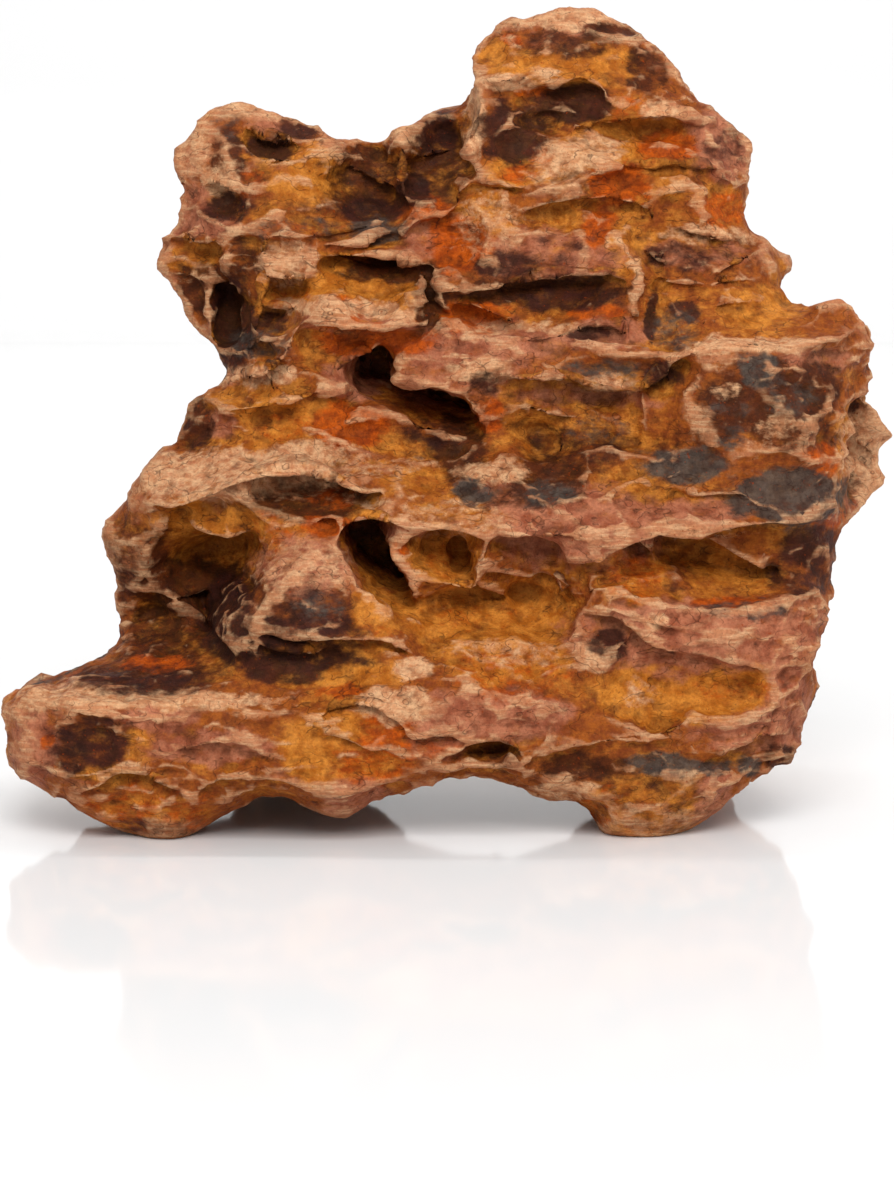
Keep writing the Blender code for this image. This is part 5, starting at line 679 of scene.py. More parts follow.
        (-32, 59, 5.5, 4.5, 0.45), (78, 118, 5, 3.5, 0.9), (86, 111, 7, 5, 0.5), (71, 108, 5, 3, 0.4),
        (85.5, 86.5, 13.5, 7, 1.0), (59, 94, 10, 4.5, 0.95), (93, 88, 6, 2.6, 1.0),
        (103.5, 90, 4, 2.2, 0.3), (73.5, 58, 12, 2.2, 0.62), (54, 19, 9, 3.2, 0.9), (66, 18.5, 5, 1.8, 0.8),
        (75, 19, 2.6, 2.4, 0.8), (-56, 180, 4, 4, 0.4), (70, 101, 6, 3, 0.45), (38, 103, 8, 3.5, 0.4),
    ],
    "cream": [
        (-52, 185, 10, 2.8, 0.65), (-63, 172, 5, 7, 0.5), (-55.5, 164.5, 4, 4, 0.85), (-40, 145, 7, 6, 0.6),
        (-44, 183, 9, 2.2, 0.7), (28, 206.5, 17, 3, 0.75), (15, 190, 8, 2.2, 0.85), (7, 181, 2.4, 10, 0.92),
        (34, 173, 10, 4, 0.75), (27.5, 167, 8, 5.5, 0.55), (53, 183, 5, 2.8, 0.85),
        (-11, 177.5, 4.5, 2.8, 0.75), (11, 155, 8, 8, 0.45), (66, 152, 13, 2.2, 0.55),
        (-30, 133.5, 13, 2, 0.9), (-14, 132.5, 7, 1.8, 0.9), (-50, 116.5, 9, 2.8, 0.65),
        (-41.5, 116.5, 3, 2.4, 0.92), (-35, 97.5, 11, 2.8, 0.75), (8, 118, 9, 3, 0.75),
        (40, 114.5, 7, 2.8, 0.65), (-55, 91.5, 27, 6, 0.72), (12, 92.5, 9, 2.6, 0.75), (0, 81, 16, 5, 0.4),
        (-69, 35.5, 26, 2.6, 0.78), (-36, 69, 11, 6, 0.5), (-12.5, 34, 8.5, 4.5, 0.97),
        (-8, 43, 5, 2.4, 0.9), (15, 47, 14, 3.2, 0.45), (75, 124, 16, 2.2, 0.85), (70, 113, 3, 2, 0.5),
        (83, 104, 5, 2.2, 0.5), (76, 99, 5, 2, 0.4), (104, 99, 5.5, 11, 0.62), (52, 56, 2.4, 2.4, 0.9),
        (36.5, 47.5, 4, 3, 0.85), (48, 37, 4.5, 3.4, 0.5), (28, 13, 8, 2.2, 0.6), (-97, 38, 13, 2, 0.5),
        (-15, 94, 12, 2.4, 0.45), (22, 128.5, 18, 1.6, 0.6), (-20, 85.5, 6, 2, 0.5), (60, 77, 14, 1.8, 0.3),
        (-105, 33, 6, 3, 0.4), (108, 96, 6, 13, 1.0),
    ],
}

# Away from the face each family comes in seeded patches: their size in mm, and how much they cover. Then how
# much finer the noise on their edges is, how strong, how sharp the edges are, and how dense the stain gets.
WILD_STAINS = {
    "ochre": (21.0, 0.46), "pink": (17.0, 0.44), "brown": (15.0, 0.38), "rust": (11.0, 0.30),
    "maroon": (12.0, 0.24), "grey": (14.0, 0.22), "cream": (13.0, 0.34),
}
WILD_FINER = 2.5
WILD_FINE_STRENGTH = 0.5
WILD_SPREAD = 1.6
WILD_SHARPNESS = 1.6
WILD_MOST = 0.95


def linear(code):
    """An sRGB hex colour as linear red, green, blue and alpha."""
    parts = [int(code[i:i + 2], 16) / 255 for i in (1, 3, 5)]
    return [p / 12.92 if p <= 0.04045 else ((p + 0.055) / 1.055) ** 2.4 for p in parts] + [1.0]


def smoothed(points):
    """The closed outline with each corner cut at a quarter of its two sides."""
    points = np.array(points, dtype=float)
    following = np.roll(points, -1, axis=0)
    near = 0.75 * points + 0.25 * following
    far = 0.25 * points + 0.75 * following
    return np.stack([near, far], axis=1).reshape(-1, 2)


def nearest(across, up, outline):
    """Distance to a closed outline (negative outside) and the nearest point on it."""
    best = np.full(across.shape, np.inf)
    near_across = np.zeros_like(across)
    near_up = np.zeros_like(up)
    inside = np.zeros(across.shape, dtype=bool)
    for (x0, u0), (x1, u1) in zip(outline, np.roll(outline, -1, axis=0)):
        run, rise = x1 - x0, u1 - u0
        along = ((across - x0) * run + (up - u0) * rise) / (run * run + rise * rise)
        along = np.clip(along, 0.0, 1.0)
        foot_x, foot_u = x0 + along * run, u0 + along * rise
        gap = np.hypot(across - foot_x, up - foot_u)
        closer = gap < best
        best = np.where(closer, gap, best)
        near_across = np.where(closer, foot_x, near_across)
        near_up = np.where(closer, foot_u, near_up)
        if rise != 0:
            spans = (u0 > up) != (u1 > up)
            inside ^= spans & (across < x0 + run * (up - u0) / rise)
    return np.where(inside, best, -best), near_across, near_up


def board(cell):
    """The centres of the board's square cells, as two arrays: across and up."""
    across = np.arange(BOARD_LEFT + cell / 2, BOARD_RIGHT, cell)
    up = np.arange(BOARD_BOTTOM + cell / 2, BOARD_TOP, cell)
    return np.meshgrid(across, up)


def pinned(lines, wells, cell, shape):
    """Heights held by the lines and wells on a board of cells, and where they hold."""
    total = np.zeros(shape)
    count = np.zeros(shape)

    def hold(points):
        """Count the points' heights in the cells that they fall in."""
        column = ((points[:, 0] - BOARD_LEFT) / cell).astype(int).clip(0, shape[1] - 1)
        row = ((points[:, 1] - BOARD_BOTTOM) / cell).astype(int).clip(0, shape[0] - 1)
        np.add.at(total, (row, column), points[:, 2])
        np.add.at(count, (row, column), 1.0)

    for drop, corners in lines:
        corners = np.array(corners, dtype=float)
        lengths = np.hypot(*np.diff(corners[:, :2], axis=0).T)
        reach = np.concatenate([[0.0], np.cumsum(lengths)])
        steps = np.linspace(0.0, reach[-1], int(reach[-1] / LINE_STEP) + 2)
        points = np.stack([np.interp(steps, reach, corners[:, axis]) for axis in range(3)], axis=1)
        hold(points)
        if drop:
            taper = np.sin(np.pi * np.clip(steps / reach[-1], *TAPER_ENDS)) ** 0.5
            lower = points.copy()
            lower[:, 1] -= math.copysign(DROP_OFFSET, drop)
            lower[:, 2] -= abs(drop) * taper
            hold(lower)
    held = np.divide(total, count, out=np.zeros(shape), where=count > 0)
    across, up = board(cell)
    for height, rim in wells:
        depth = nearest(across, up, np.array(rim, dtype=float))[0]
        held = np.where(depth > 0, height, held)
        count = np.where(depth > 0, 1.0, count)
    return held, count > 0


def patches(across, up, cells):
    """Soft round patches added up: each falls from its strength at the centre to nothing at its rim."""
    total = np.zeros_like(across)
    for x, u, half_width, half_height, strength in cells:
        distance = ((across - x) / half_width) ** 2 + ((up - u) / half_height) ** 2
        total += strength * np.exp(-PATCH_FALL * distance)
    return total


def beside(field, fill):
    """The four neighbours of every cell added up; outside the board they count as the fill."""
    padded = np.pad(field, 1, constant_values=fill)
    return padded[:-2, 1:-1] + padded[2:, 1:-1] + padded[1:-1, :-2] + padded[1:-1, 2:]


def hung_skin(lines, wells, scoops, swells, outline):
    """A skin held at the lines and sagging between them: each free cell is its neighbours' mean less the
    load. It is settled on coarse cells first and then on finer ones."""
    skin = None
    for cell, sweeps in zip(CELLS, SWEEPS):
        across, up = board(cell)
        held, fixed = pinned(lines, wells, cell, across.shape)
        stone = (nearest(across, up, outline)[0] > -SKIN_MARGIN * cell).astype(float)
        load = (SAG + patches(across, up, scoops) - patches(across, up, swells)) * cell * cell / 4
        if skin is None:
            skin = np.full(across.shape, held[fixed].mean())
        else:
            skin = skin.repeat(2, axis=0).repeat(2, axis=1)
        neighbours = np.maximum(beside(stone, 0.0), 1.0)
        for _ in range(sweeps):
            mean = beside(skin * stone, 0.0) / neighbours
            skin = np.where(fixed, held, mean - load)
    return skin


def blurred(field, weight, cells):
    """Mean of the field over a square of the given half width, three times over, where it has weight."""
    for _ in range(3):
        for axis in (0, 1):
            total = np.cumsum(np.pad(field * weight, ((cells + 1, cells),) * 2), axis=axis)
            share = np.cumsum(np.pad(weight, ((cells + 1, cells),) * 2), axis=axis)
            width = 2 * cells + 1
            keep = slice(cells + 1, -cells)
            if axis == 0:
                total = (total[width:] - total[:-width])[:, keep]
                share = (share[width:] - share[:-width])[:, keep]
            else:
                total = (total[:, width:] - total[:, :-width])[keep]
                share = (share[:, width:] - share[:, :-width])[keep]
            field = total / np.maximum(share, TINY_WEIGHT)
    return field


def rounding(distance, radius):
    """A quarter circle's rise from 0 at the outline to 1 at the radius."""
    share = np.clip(distance / radius, 0.0, 1.0)
    return np.sqrt(1.0 - (1.0 - share) ** 2)


def to_frame(across, up, out):
    """Board places to metres in the stone's frame. What stands out is drawn smaller about the eye's axis,
    so that its outline stays where it was drawn."""
    shrink = 1.0 - out / EYE_DISTANCE
    across = across * shrink
    up = EYE_HEIGHT + (up - EYE_HEIGHT) * shrink
    back = up * math.sin(LEAN) - out * math.cos(LEAN)
    height = up * math.cos(LEAN) + out * math.sin(LEAN)
    return (np.stack([across, back, height], axis=-1) + STONE_SHIFT) * MM


def stone_sheets():
    """Vertices and faces of the front and back sheets, sewn together along the outline, and how far out
    the middle between them stands in each cell."""
    outline = smoothed(OUTLINE)
    cell = CELLS[-1]
    across, up = board(cell)
    distance, edge_across, edge_up = nearest(across, up, outline)
    front = hung_skin(FRONT_LINES, WELLS, SCOOPS, SWELLS, outline)
    back = -BACK_DEPTH * hung_skin(BACK_LINES, [], BACK_SCOOPS, BACK_SWELLS, outline)
    edge = front - EDGE_SHARE * (front - back)
    low = np.clip((UNDERSIDE_TOP - up) / UNDERSIDE_FADE, 0.0, 1.0)
    back_radius = BACK_ROUNDING + (UNDERSIDE_ROUNDING - BACK_ROUNDING) * low
    front_out = edge + (front - edge) * rounding(distance, FRONT_ROUNDING)
    back_out = edge + (back - edge) * rounding(distance, back_radius)

    stone = (distance > 0).astype(float)
    recess = blurred(front_out, stone, RECESS_BLUR) - front_out - UNDERCUT_START
    recess = np.clip(recess, 0.0, UNDERCUT_DEPTH)
    front_up = up + UNDERCUT * recess * np.clip(distance / UNDERCUT_MARGIN, 0.0, 1.0)
    back_up = up + UNDERSIDE_RISE * (edge - back_out) * np.clip(1.0 - up / RISE_FADE, 0.0, 1.0)

    inside = distance > 0
    quads = inside[:-1, :-1] | inside[1:, :-1] | inside[:-1, 1:] | inside[1:, 1:]
    used = np.zeros_like(inside)
    used[:-1, :-1] |= quads
    used[1:, :-1] |= quads
    used[:-1, 1:] |= quads
    used[1:, 1:] |= quads
    rim = used & ~inside
    number = np.full(inside.shape, -1)
    number[used] = np.arange(used.sum())
    behind = number.copy()
    behind[inside] = used.sum() + np.arange(inside.sum())

    x = np.where(rim, edge_across, across)
    front_points = to_frame(x, np.where(rim, edge_up, front_up), np.where(rim, edge, front_out))[used]
    back_points = to_frame(x, back_up, back_out)[inside]
    rows, columns = np.nonzero(quads)

    def corners(index):
        """The four corners of each face, as vertex numbers of one sheet."""
        return np.stack([index[rows, columns], index[rows, columns + 1],
                         index[rows + 1, columns + 1], index[rows + 1, columns]], axis=1)

    faces = np.concatenate([corners(number), corners(behind)[:, ::-1]])
    return np.concatenate([front_points, back_points]), faces, (front_out + back_out) / 2


def smoothstep(share):
    """A share from 0 to 1, eased at both ends."""
    return share * share * (3.0 - 2.0 * share)


def lattice_noise(points, size, seed):
    """Smooth noise from -1 to 1: seeded values on a cubic lattice of the given size, eased between."""
    generator = np.random.default_rng(seed)
    values = generator.uniform(-1.0, 1.0, (LATTICE, LATTICE, LATTICE))
    place = points / size + LATTICE_START
    cell = np.floor(place).astype(int)
    ease = smoothstep(place - cell)
    total = np.zeros(len(points))
    for corner in range(8):
        step = np.array([corner & 1, corner >> 1 & 1, corner >> 2])
        weight = np.prod(np.where(step, ease, 1.0 - ease), axis=1)
        index = (cell + step) % LATTICE
        total += weight * values[index[:, 0], index[:, 1], index[:, 2]]
    return total


def scallops(points, size, seed):
    """Bowls side by side that meet in sharp crests: the squared distance to the nearest of the seeded
    points, one in each box of a lattice of the given size, so 0 at a bowl's middle, about 0.6 at its rim."""
    generator = np.random.default_rng(seed)
    offsets = generator.uniform(0.0, 1.0, (LATTICE, LATTICE, LATTICE, 3))
    place = points / (np.array(size) * MM) + LATTICE_START
    cell = np.floor(place).astype(int)
    square = np.full(len(points), np.inf)
    for number in range(27):
        step = np.array([number % 3, number // 3 % 3, number // 9]) - 1
        index = (cell + step) % LATTICE
        middle = cell + step + offsets[index[:, 0], index[:, 1], index[:, 2]]
        square = np.minimum(square, ((place - middle) ** 2).sum(axis=1))
    return square


def bent(points):
    """The points pushed to and fro by slow noise, so that a pattern read at them wanders."""
    push = [lattice_noise(points, BEND_SIZE * MM, seed) for seed in BEND_SEEDS]
    return points + BEND * MM * np.stack(push, axis=1)


def patchy(points, size, seed, share):
    """A share that changes from patch to patch, from its mean, spread, least and most."""
    mean, spread, least, most = share
    return np.clip(mean + spread * lattice_noise(points, size * MM, seed), least, most)


def wear(points, normals):
    """How far weather has moved each point along its normal, in mm: slow swells, then bowls that meet in
    wandering crests and sharp ridges where a flattened noise changes sign, both deeper in rough stretches
    than in smooth ones, and pits underneath."""
    wandering = bent(points)
    rough = patchy(points, STRETCH_SIZE, STRETCH_SEED, STRETCH_SHARE)
    relief = SWELL_HEIGHT * lattice_noise(points, SWELL_SIZE * MM, SWELL_SEED)
    relief += rough * SCALLOP_DEPTH * (scallops(wandering, SCALLOP_SIZE, SCALLOP_SEED) - SCALLOP_LEVEL)
    ridges = np.abs(lattice_noise(wandering, np.array(RIDGE_SIZE) * MM, RIDGE_SEED))
    relief += rough * RIDGE_HEIGHT * (1.0 - RIDGE_SLOPE * ridges)
    pits = np.clip(lattice_noise(points, PIT_SIZE * MM, PIT_SEED) + PIT_SHARE, 0.0, 1.0)
    return relief - PIT_DEPTH * pits * np.clip(-normals[:, 2], 0.0, 1.0) ** 2


def calm(points):
    """The share of the wear that is left near the ground, where the feet are rubbed flat."""
    return np.clip(points[:, 2] / (CALM_HEIGHT * MM), CALM_SHARE, 1.0)


def vertex_array(mesh, attribute):
    """One vector a vertex, as an array."""
    values = np.empty(len(mesh.vertices) * 3)
    mesh.vertices.foreach_get(attribute, values)
    return values.reshape(-1, 3)


def finished_mesh(stone):
    """The stone's mesh as its modifiers leave it, in place of the one that it had."""
    graph = bpy.context.evaluated_depsgraph_get()
    mesh = bpy.data.meshes.new_from_object(stone.evaluated_get(graph))
    stone.modifiers.clear()
    stone.data = mesh
    return mesh


def layers(points, thickness, seed):
    """Thin beds one above another, each standing out by an amount of its own that changes slowly along it,
    from -1 to 1: the lattice noise read for the bed, eased to the next bed's in its top fifth."""
    wander = LAYER_RISE * MM * lattice_noise(points, LAYER_WANDER * MM, seed)
    level = points[:, 2] + LAYER_TILT[0] * points[:, 0] + LAYER_TILT[1] * points[:, 1] + wander
    bed = np.floor(level / (thickness * MM))
    ease = np.clip((level / (thickness * MM) - bed - 1.0 + LAYER_STEP) / LAYER_STEP, 0.0, 1.0)
    ease = smoothstep(ease)
    along = points.copy()
    along[:, 2] = bed * LAYERS_APART * MM
    here = lattice_noise(along, LAYER_LENGTH * MM, seed + 1)
    along[:, 2] += LAYERS_APART * MM
    above = lattice_noise(along, LAYER_LENGTH * MM, seed + 1)
    return here + (above - here) * ease


def worn(points, normals, stone):
    """How far the wear moves each point along its normal, in mm: the solid's own wear, then smaller bowls,
    ridges, beds and grit that come and go from patch to patch."""
    wandering = bent(points)
    relief = wear(points, normals)
    rough = patchy(points, ROUGH_PATCH_SIZE, ROUGH_SEED, ROUGH_SHARE)
    bedded = patchy(points, ROUGH_PATCH_SIZE, BEDDED_SEED, BEDDED_SHARE)
    steep = np.clip(STEEP_ENOUGH - normals[:, 2] ** 2, 0.0, 1.0)
    small_bowls = scallops(wandering, SMALL_BOWL_SIZE, SMALL_BOWL_SEED) - SCALLOP_LEVEL
    tiny_bowls = scallops(points, TINY_BOWL_SIZE, TINY_BOWL_SEED) - SCALLOP_LEVEL
    creases = np.abs(lattice_noise(wandering, np.array(CREASE_SIZE) * MM, CREASE_SEED))
    creases = 1.0 - CREASE_SLOPE * creases
    relief += stone.small_bowls * rough * small_bowls
    relief += stone.tiny_bowls * rough * tiny_bowls
    relief += stone.creases * rough * creases
    relief += stone.thick_beds * bedded * steep * layers(points, THICK_BED, THICK_BED_SEED)
    relief += stone.thin_beds * bedded * steep * layers(points, THIN_BED, THIN_BED_SEED)
    relief += stone.grit * lattice_noise(points, GRIT_SIZE * MM, GRIT_SEED)
    return relief * calm(points)


def edge_array(mesh):
    """The two ends of each edge, as an array of vertex numbers."""
    edges = np.empty(len(mesh.edges) * 2, dtype=np.int32)
    mesh.edges.foreach_get("vertices", edges)
    return edges.reshape(-1, 2)


def smoothed_points(points, edges, rounds):
    """The points after so many rounds of moving each one to its neighbours' mean."""
    count = np.bincount(edges.ravel(), minlength=len(points))[:, None]
    for _ in range(rounds):
        total = np.stack([np.bincount(edges[:, 0], points[edges[:, 1], axis], len(points))
                          + np.bincount(edges[:, 1], points[edges[:, 0], axis], len(points))
                          for axis in range(3)], axis=1)
        points = total / count
    return points


def board_place(points):
    """Where the eye sees each point on the board, across and up, and how far out it stands, in mm."""
    place = points / MM - STONE_SHIFT
    up = place[:, 1] * math.sin(LEAN) + place[:, 2] * math.cos(LEAN)
    out = place[:, 2] * math.sin(LEAN) - place[:, 1] * math.cos(LEAN)
    shrink = 1.0 - out / EYE_DISTANCE
    return place[:, 0] / shrink, EYE_HEIGHT + (up - EYE_HEIGHT) / shrink, out


def covered(across, up, ellipses):
    """How much of each place a family's ellipses cover: full strength inside an ellipse, easing to nothing
    at 1.5 times its size, and overlapping ellipses add up as layers of paint do."""
    clear = np.ones_like(across)
    for x, u, half_width, half_height, strength in ellipses:
        distance = np.hypot((across - x) / half_width, (up - u) / half_height)
        share = np.clip((STAIN_REACH - distance) / STAIN_EDGE, 0.0, 1.0)
        clear *= 1.0 - strength * smoothstep(share)
    return 1.0 - clear


def colour_marks(mesh, middle):
    """Attributes that the material reads: crest and hollow from the mesh's own curvature, and one weight
    for each family of stains, from patches listed one by one on the face and from seeded patches elsewhere."""
    points = vertex_array(mesh, "co")
    normals = vertex_array(mesh, "normal")
    edges = edge_array(mesh)
    near = smoothed_points(points, edges, CREST_ROUNDS)
    far = smoothed_points(near, edges, HOLLOW_ROUNDS)
    marks = {
        "crest": np.clip(((points - near) * normals).sum(axis=1) / (CREST_FULL * MM), -1.0, 1.0),
        "hollow": np.clip(((far - points) * normals).sum(axis=1) / (HOLLOW_FULL * MM), -1.0, 1.0),
    }
    across, up, out = board_place(points)
    column = ((across - BOARD_LEFT) / CELLS[-1]).astype(int).clip(0, middle.shape[1] - 1)
    row = ((up - BOARD_BOTTOM) / CELLS[-1]).astype(int).clip(0, middle.shape[0] - 1)
    face = np.clip((out - middle[row, column]) / FACE_FADE + 0.5, 0.0, 1.0)
    face = np.where(across > KNOB_LEFT, 1.0, face)
    across = across + ACROSS_PUSH * lattice_noise(points, WAVER_SIZE * MM, ACROSS_SEED)
    across += ACROSS_PUSH_FINE * lattice_noise(points, WAVER_SIZE_FINE * MM, ACROSS_SEED + 1)
    up = up + UP_PUSH * lattice_noise(points, WAVER_SIZE * MM, UP_SEED)
    up += UP_PUSH_FINE * lattice_noise(points, WAVER_SIZE_FINE * MM, UP_SEED + 1)
    for number, (family, ellipses) in enumerate(STAINS.items()):
        size, share = WILD_STAINS[family]
        wild = lattice_noise(points, size * MM, WILD_SEED + number)
        wild += WILD_FINE_STRENGTH * lattice_noise(points, size * MM / WILD_FINER, WILD_FINE_SEED + number)
        wild = 0.5 + WILD_SHARPNESS * (wild - WILD_SPREAD * (0.5 - share))
        wild = np.clip(wild, 0.0, WILD_MOST)
        marks[family] = face * covered(across, up, ellipses) + (1.0 - face) * wild
    for name, values in marks.items():
        attribute = mesh.attributes.new(name, "FLOAT", "POINT")
        attribute.data.foreach_set("value", values.astype(np.float32))


# The material's patterns: how wide a patch of each is on the stone, in mm, its seed, its octaves of detail,
# and how much flatter than wide its patches are.
PATTERNS = {
    "patches": (9.0, 1, 6.0, 1.0),
    "spots": (2.6, 2, 6.0, 1.0),
    "grain": (0.7, 3, 4.0, 1.0),
    "beds": (6.0, 4, 5.0, 7.0),
    "specks": (1.1, 5, 3.0, 1.0),
    "pits": (0.9, 6, 3.0, 1.0),
    "flakes": (15.0, 7, 2.5, 1.8),
    "weather": (5.5, 8, 7.0, 1.4),
}
# The families of stains, the lowest coat first: its colour, its second colour, and the width of its mottling
# in mm.
FAMILIES = (
    ("ochre", "ochre_pale", 3.2), ("pink", "pink_pale", 3.6), ("brown", "deep_brown_and_shade", 2.8),
    ("rust", "rust_bright", 2.2), ("cream", "cream_pale", 1.8), ("maroon", "maroon_deep", 3.4),
    ("grey", "grey_pale", 2.4),
)
# Where the thin flakes end on their noise, and the first seeds of the stains' edges, tones and flakes.
FLAKE_LEVELS = (0.46, 0.54)
EDGE_SEED = 10
TONE_SEED = 20
FLAKE_SEED = 30

# How rough each noise is, how far one seed's noise lies from the next one's, how wide a flake's edge and the
# painted shadow below it are on their noise, how wide the patches that have flakes are, in mm, and how much
# wider than its mottling the noise of a stain's edge and of its tone is.
NOISE_ROUGHNESS = 0.62
SEED_STEP = (1.7, 2.3, 0.9)
FLAKE_EDGE = 0.004
FLAKE_SHADOW = 0.012
FLAKED_PATCH = 11.0
EDGE_WIDTH = 1.5
TONE_WIDTH = 1.3

# Dry stone and polished acrylic: how they bend light and shine, and how deep the bump is, in mm.
STONE_IOR = 1.5
STONE_SPECULAR = 0.12
BUMP_DEPTH = 0.6
FLOOR_IOR = 1.30
FLOOR_ROUGHNESS = 0.08


def add(tree, kind, settings=None, links=None):
    """One node: settings name its properties or its sockets, links join its sockets to others' outputs."""
    node = tree.nodes.new(kind)
    for name, value in (settings or {}).items():
        if hasattr(node, str(name)):
            setattr(node, name, value)
        else:
            node.inputs[name].default_value = value
    for name, output in (links or {}).items():
        tree.links.new(output, node.inputs[name])
    return node


def mottled(tree, place, size, seed, detail=6.0, flat=1.0):
    """Noise of the given patch size in mm, squashed to thin beds where flat is over 1."""
    settings = {
        "Location": tuple(seed * step for step in SEED_STEP),
        "Scale": (1 / size, 1 / size, flat / size),
    }
    placed = add(tree, "ShaderNodeMapping", settings, {"Vector": place})
    settings = {"Scale": 1.0, "Detail": detail, "Roughness": NOISE_ROUGHNESS}
    noise = add(tree, "ShaderNodeTexNoise", settings, {"Vector": placed.outputs[0]})
    return noise.outputs["Fac"]


def eased(tree, value, low, high, to_low=0.0, to_high=1.0):
    """The value carried from one range to another, easing in and out."""
    ranged = add(tree, "ShaderNodeMapRange",
                 {"interpolation_type": "SMOOTHSTEP", "From Min": low, "From Max": high,
                  "To Min": to_low, "To Max": to_high}, {"Value": value})
    return ranged.outputs[0]


def sum_of(tree, first, second, factor=1.0, plus=0.0):
    """First plus second times a factor, plus a number."""
    scaled = add(tree, "ShaderNodeMath", {"operation": "MULTIPLY_ADD", 1: factor, 2: plus}, {0: second})
    total = add(tree, "ShaderNodeMath", {"operation": "ADD"}, {0: first, 1: scaled.outputs[0]})
    return total.outputs[0]


def shaken(tree, value, noise, amount):
    """The value moved up and down by noise, by half the amount either way."""
    return sum_of(tree, value, noise, amount, -amount / 2)


def times(tree, first, second):
    """First times second, which may be a fixed number."""
    if isinstance(second, bpy.types.NodeSocket):
        return add(tree, "ShaderNodeMath", {"operation": "MULTIPLY"}, {0: first, 1: second}).outputs[0]
    return add(tree, "ShaderNodeMath", {"operation": "MULTIPLY", 1: second}, {0: first}).outputs[0]


def blend(tree, share, under, over, mode="MIX"):
    """One colour over another by a share; either may be a socket or a fixed colour."""
    mix = add(tree, "ShaderNodeMix", {"data_type": "RGBA", "blend_type": mode})
    for socket, value in ((0, share), (6, under), (7, over)):
        if isinstance(value, bpy.types.NodeSocket):
            tree.links.new(value, mix.inputs[socket])
        else:
            mix.inputs[socket].default_value = value
    return mix.outputs[2]


def mark(tree, name):
    """One of the stone's own attributes."""
    return add(tree, "ShaderNodeAttribute", {"attribute_name": name}).outputs["Fac"]


def bare_stone(tree, colours, hollow, noise):
    """Silt and chert before any stain: tan and clay in spots, a pale crust where the stone stands out, which
    is partly a painted highlight, gold where iron has gathered in the hollows, and brown in the deepest of
    them, partly old stain and partly painted shade."""
    depth = shaken(tree, hollow, noise["patches"], 1.6)
    depth = shaken(tree, depth, noise["beds"], 0.8)
    colour = blend(tree, eased(tree, noise["spots"], 0.36, 0.64), tuple(colours.tan), tuple(colours.clay))
    banded = eased(tree, noise["beds"], 0.42, 0.60)
    crust = blend(tree, banded, tuple(colours.pink_pale), tuple(colours.cream))
    # What stands out at the large scale turns pale: partly crust, partly a painted highlight.
    colour = blend(tree, eased(tree, depth, -0.30, -1.10, 0.0, 0.60), colour, crust)
    mixed = eased(tree, noise["spots"], 0.40, 0.62)
    gold = blend(tree, mixed, tuple(colours.ochre_pale), tuple(colours.ochre))
    colour = blend(tree, eased(tree, depth, -0.10, 0.50, 0.0, 0.80), colour, gold)
    # The deepest hollows turn brown: partly old stain, partly painted shade.
    return blend(tree, eased(tree, depth, 0.90, 1.60, 0.0, 0.60), colour, tuple(colours.brown))


def stained(tree, place, colour, colours):
    """The stains laid over the colour, each family's edge broken up by its own noise."""
    for number, (family, second, size) in enumerate(FAMILIES):
        edge = mottled(tree, place, EDGE_WIDTH * size, EDGE_SEED + number, 8.0, 1.7)
        share = eased(tree, shaken(tree, mark(tree, family), edge, 1.7), 0.20, 0.85, 0.0, 0.92)
        mix = eased(tree, mottled(tree, place, TONE_WIDTH * size, TONE_SEED + number), 0.36, 0.64)
        tone = blend(tree, mix, tuple(getattr(colours, family)), tuple(getattr(colours, second)))
        colour = blend(tree, share, colour, tone)
    return colour


def flaked(tree, place, colour, colours, flakes):
    """Thin flakes that end along the noise's contours, here and there: a painted shadow below each edge, and
    the count of flakes that lie over one another, for the bump."""
    steps = times(tree, flakes, 0.0)
    for number, level in enumerate(FLAKE_LEVELS):
        here = eased(tree, mottled(tree, place, FLAKED_PATCH, FLAKE_SEED + number, 3.0), 0.46, 0.54)
        over = eased(tree, flakes, level, level + FLAKE_EDGE)
        below = eased(tree, flakes, level + FLAKE_EDGE, level)
        # A painted shadow: a dark band just below each flake's edge.
        gap = times(tree, eased(tree, flakes, level - FLAKE_SHADOW, level, 0.0, 0.6), below)
        colour = blend(tree, times(tree, gap, here), colour, tuple(colours.deep_brown_and_shade))
        steps = sum_of(tree, steps, times(tree, over, here))
    return colour, steps


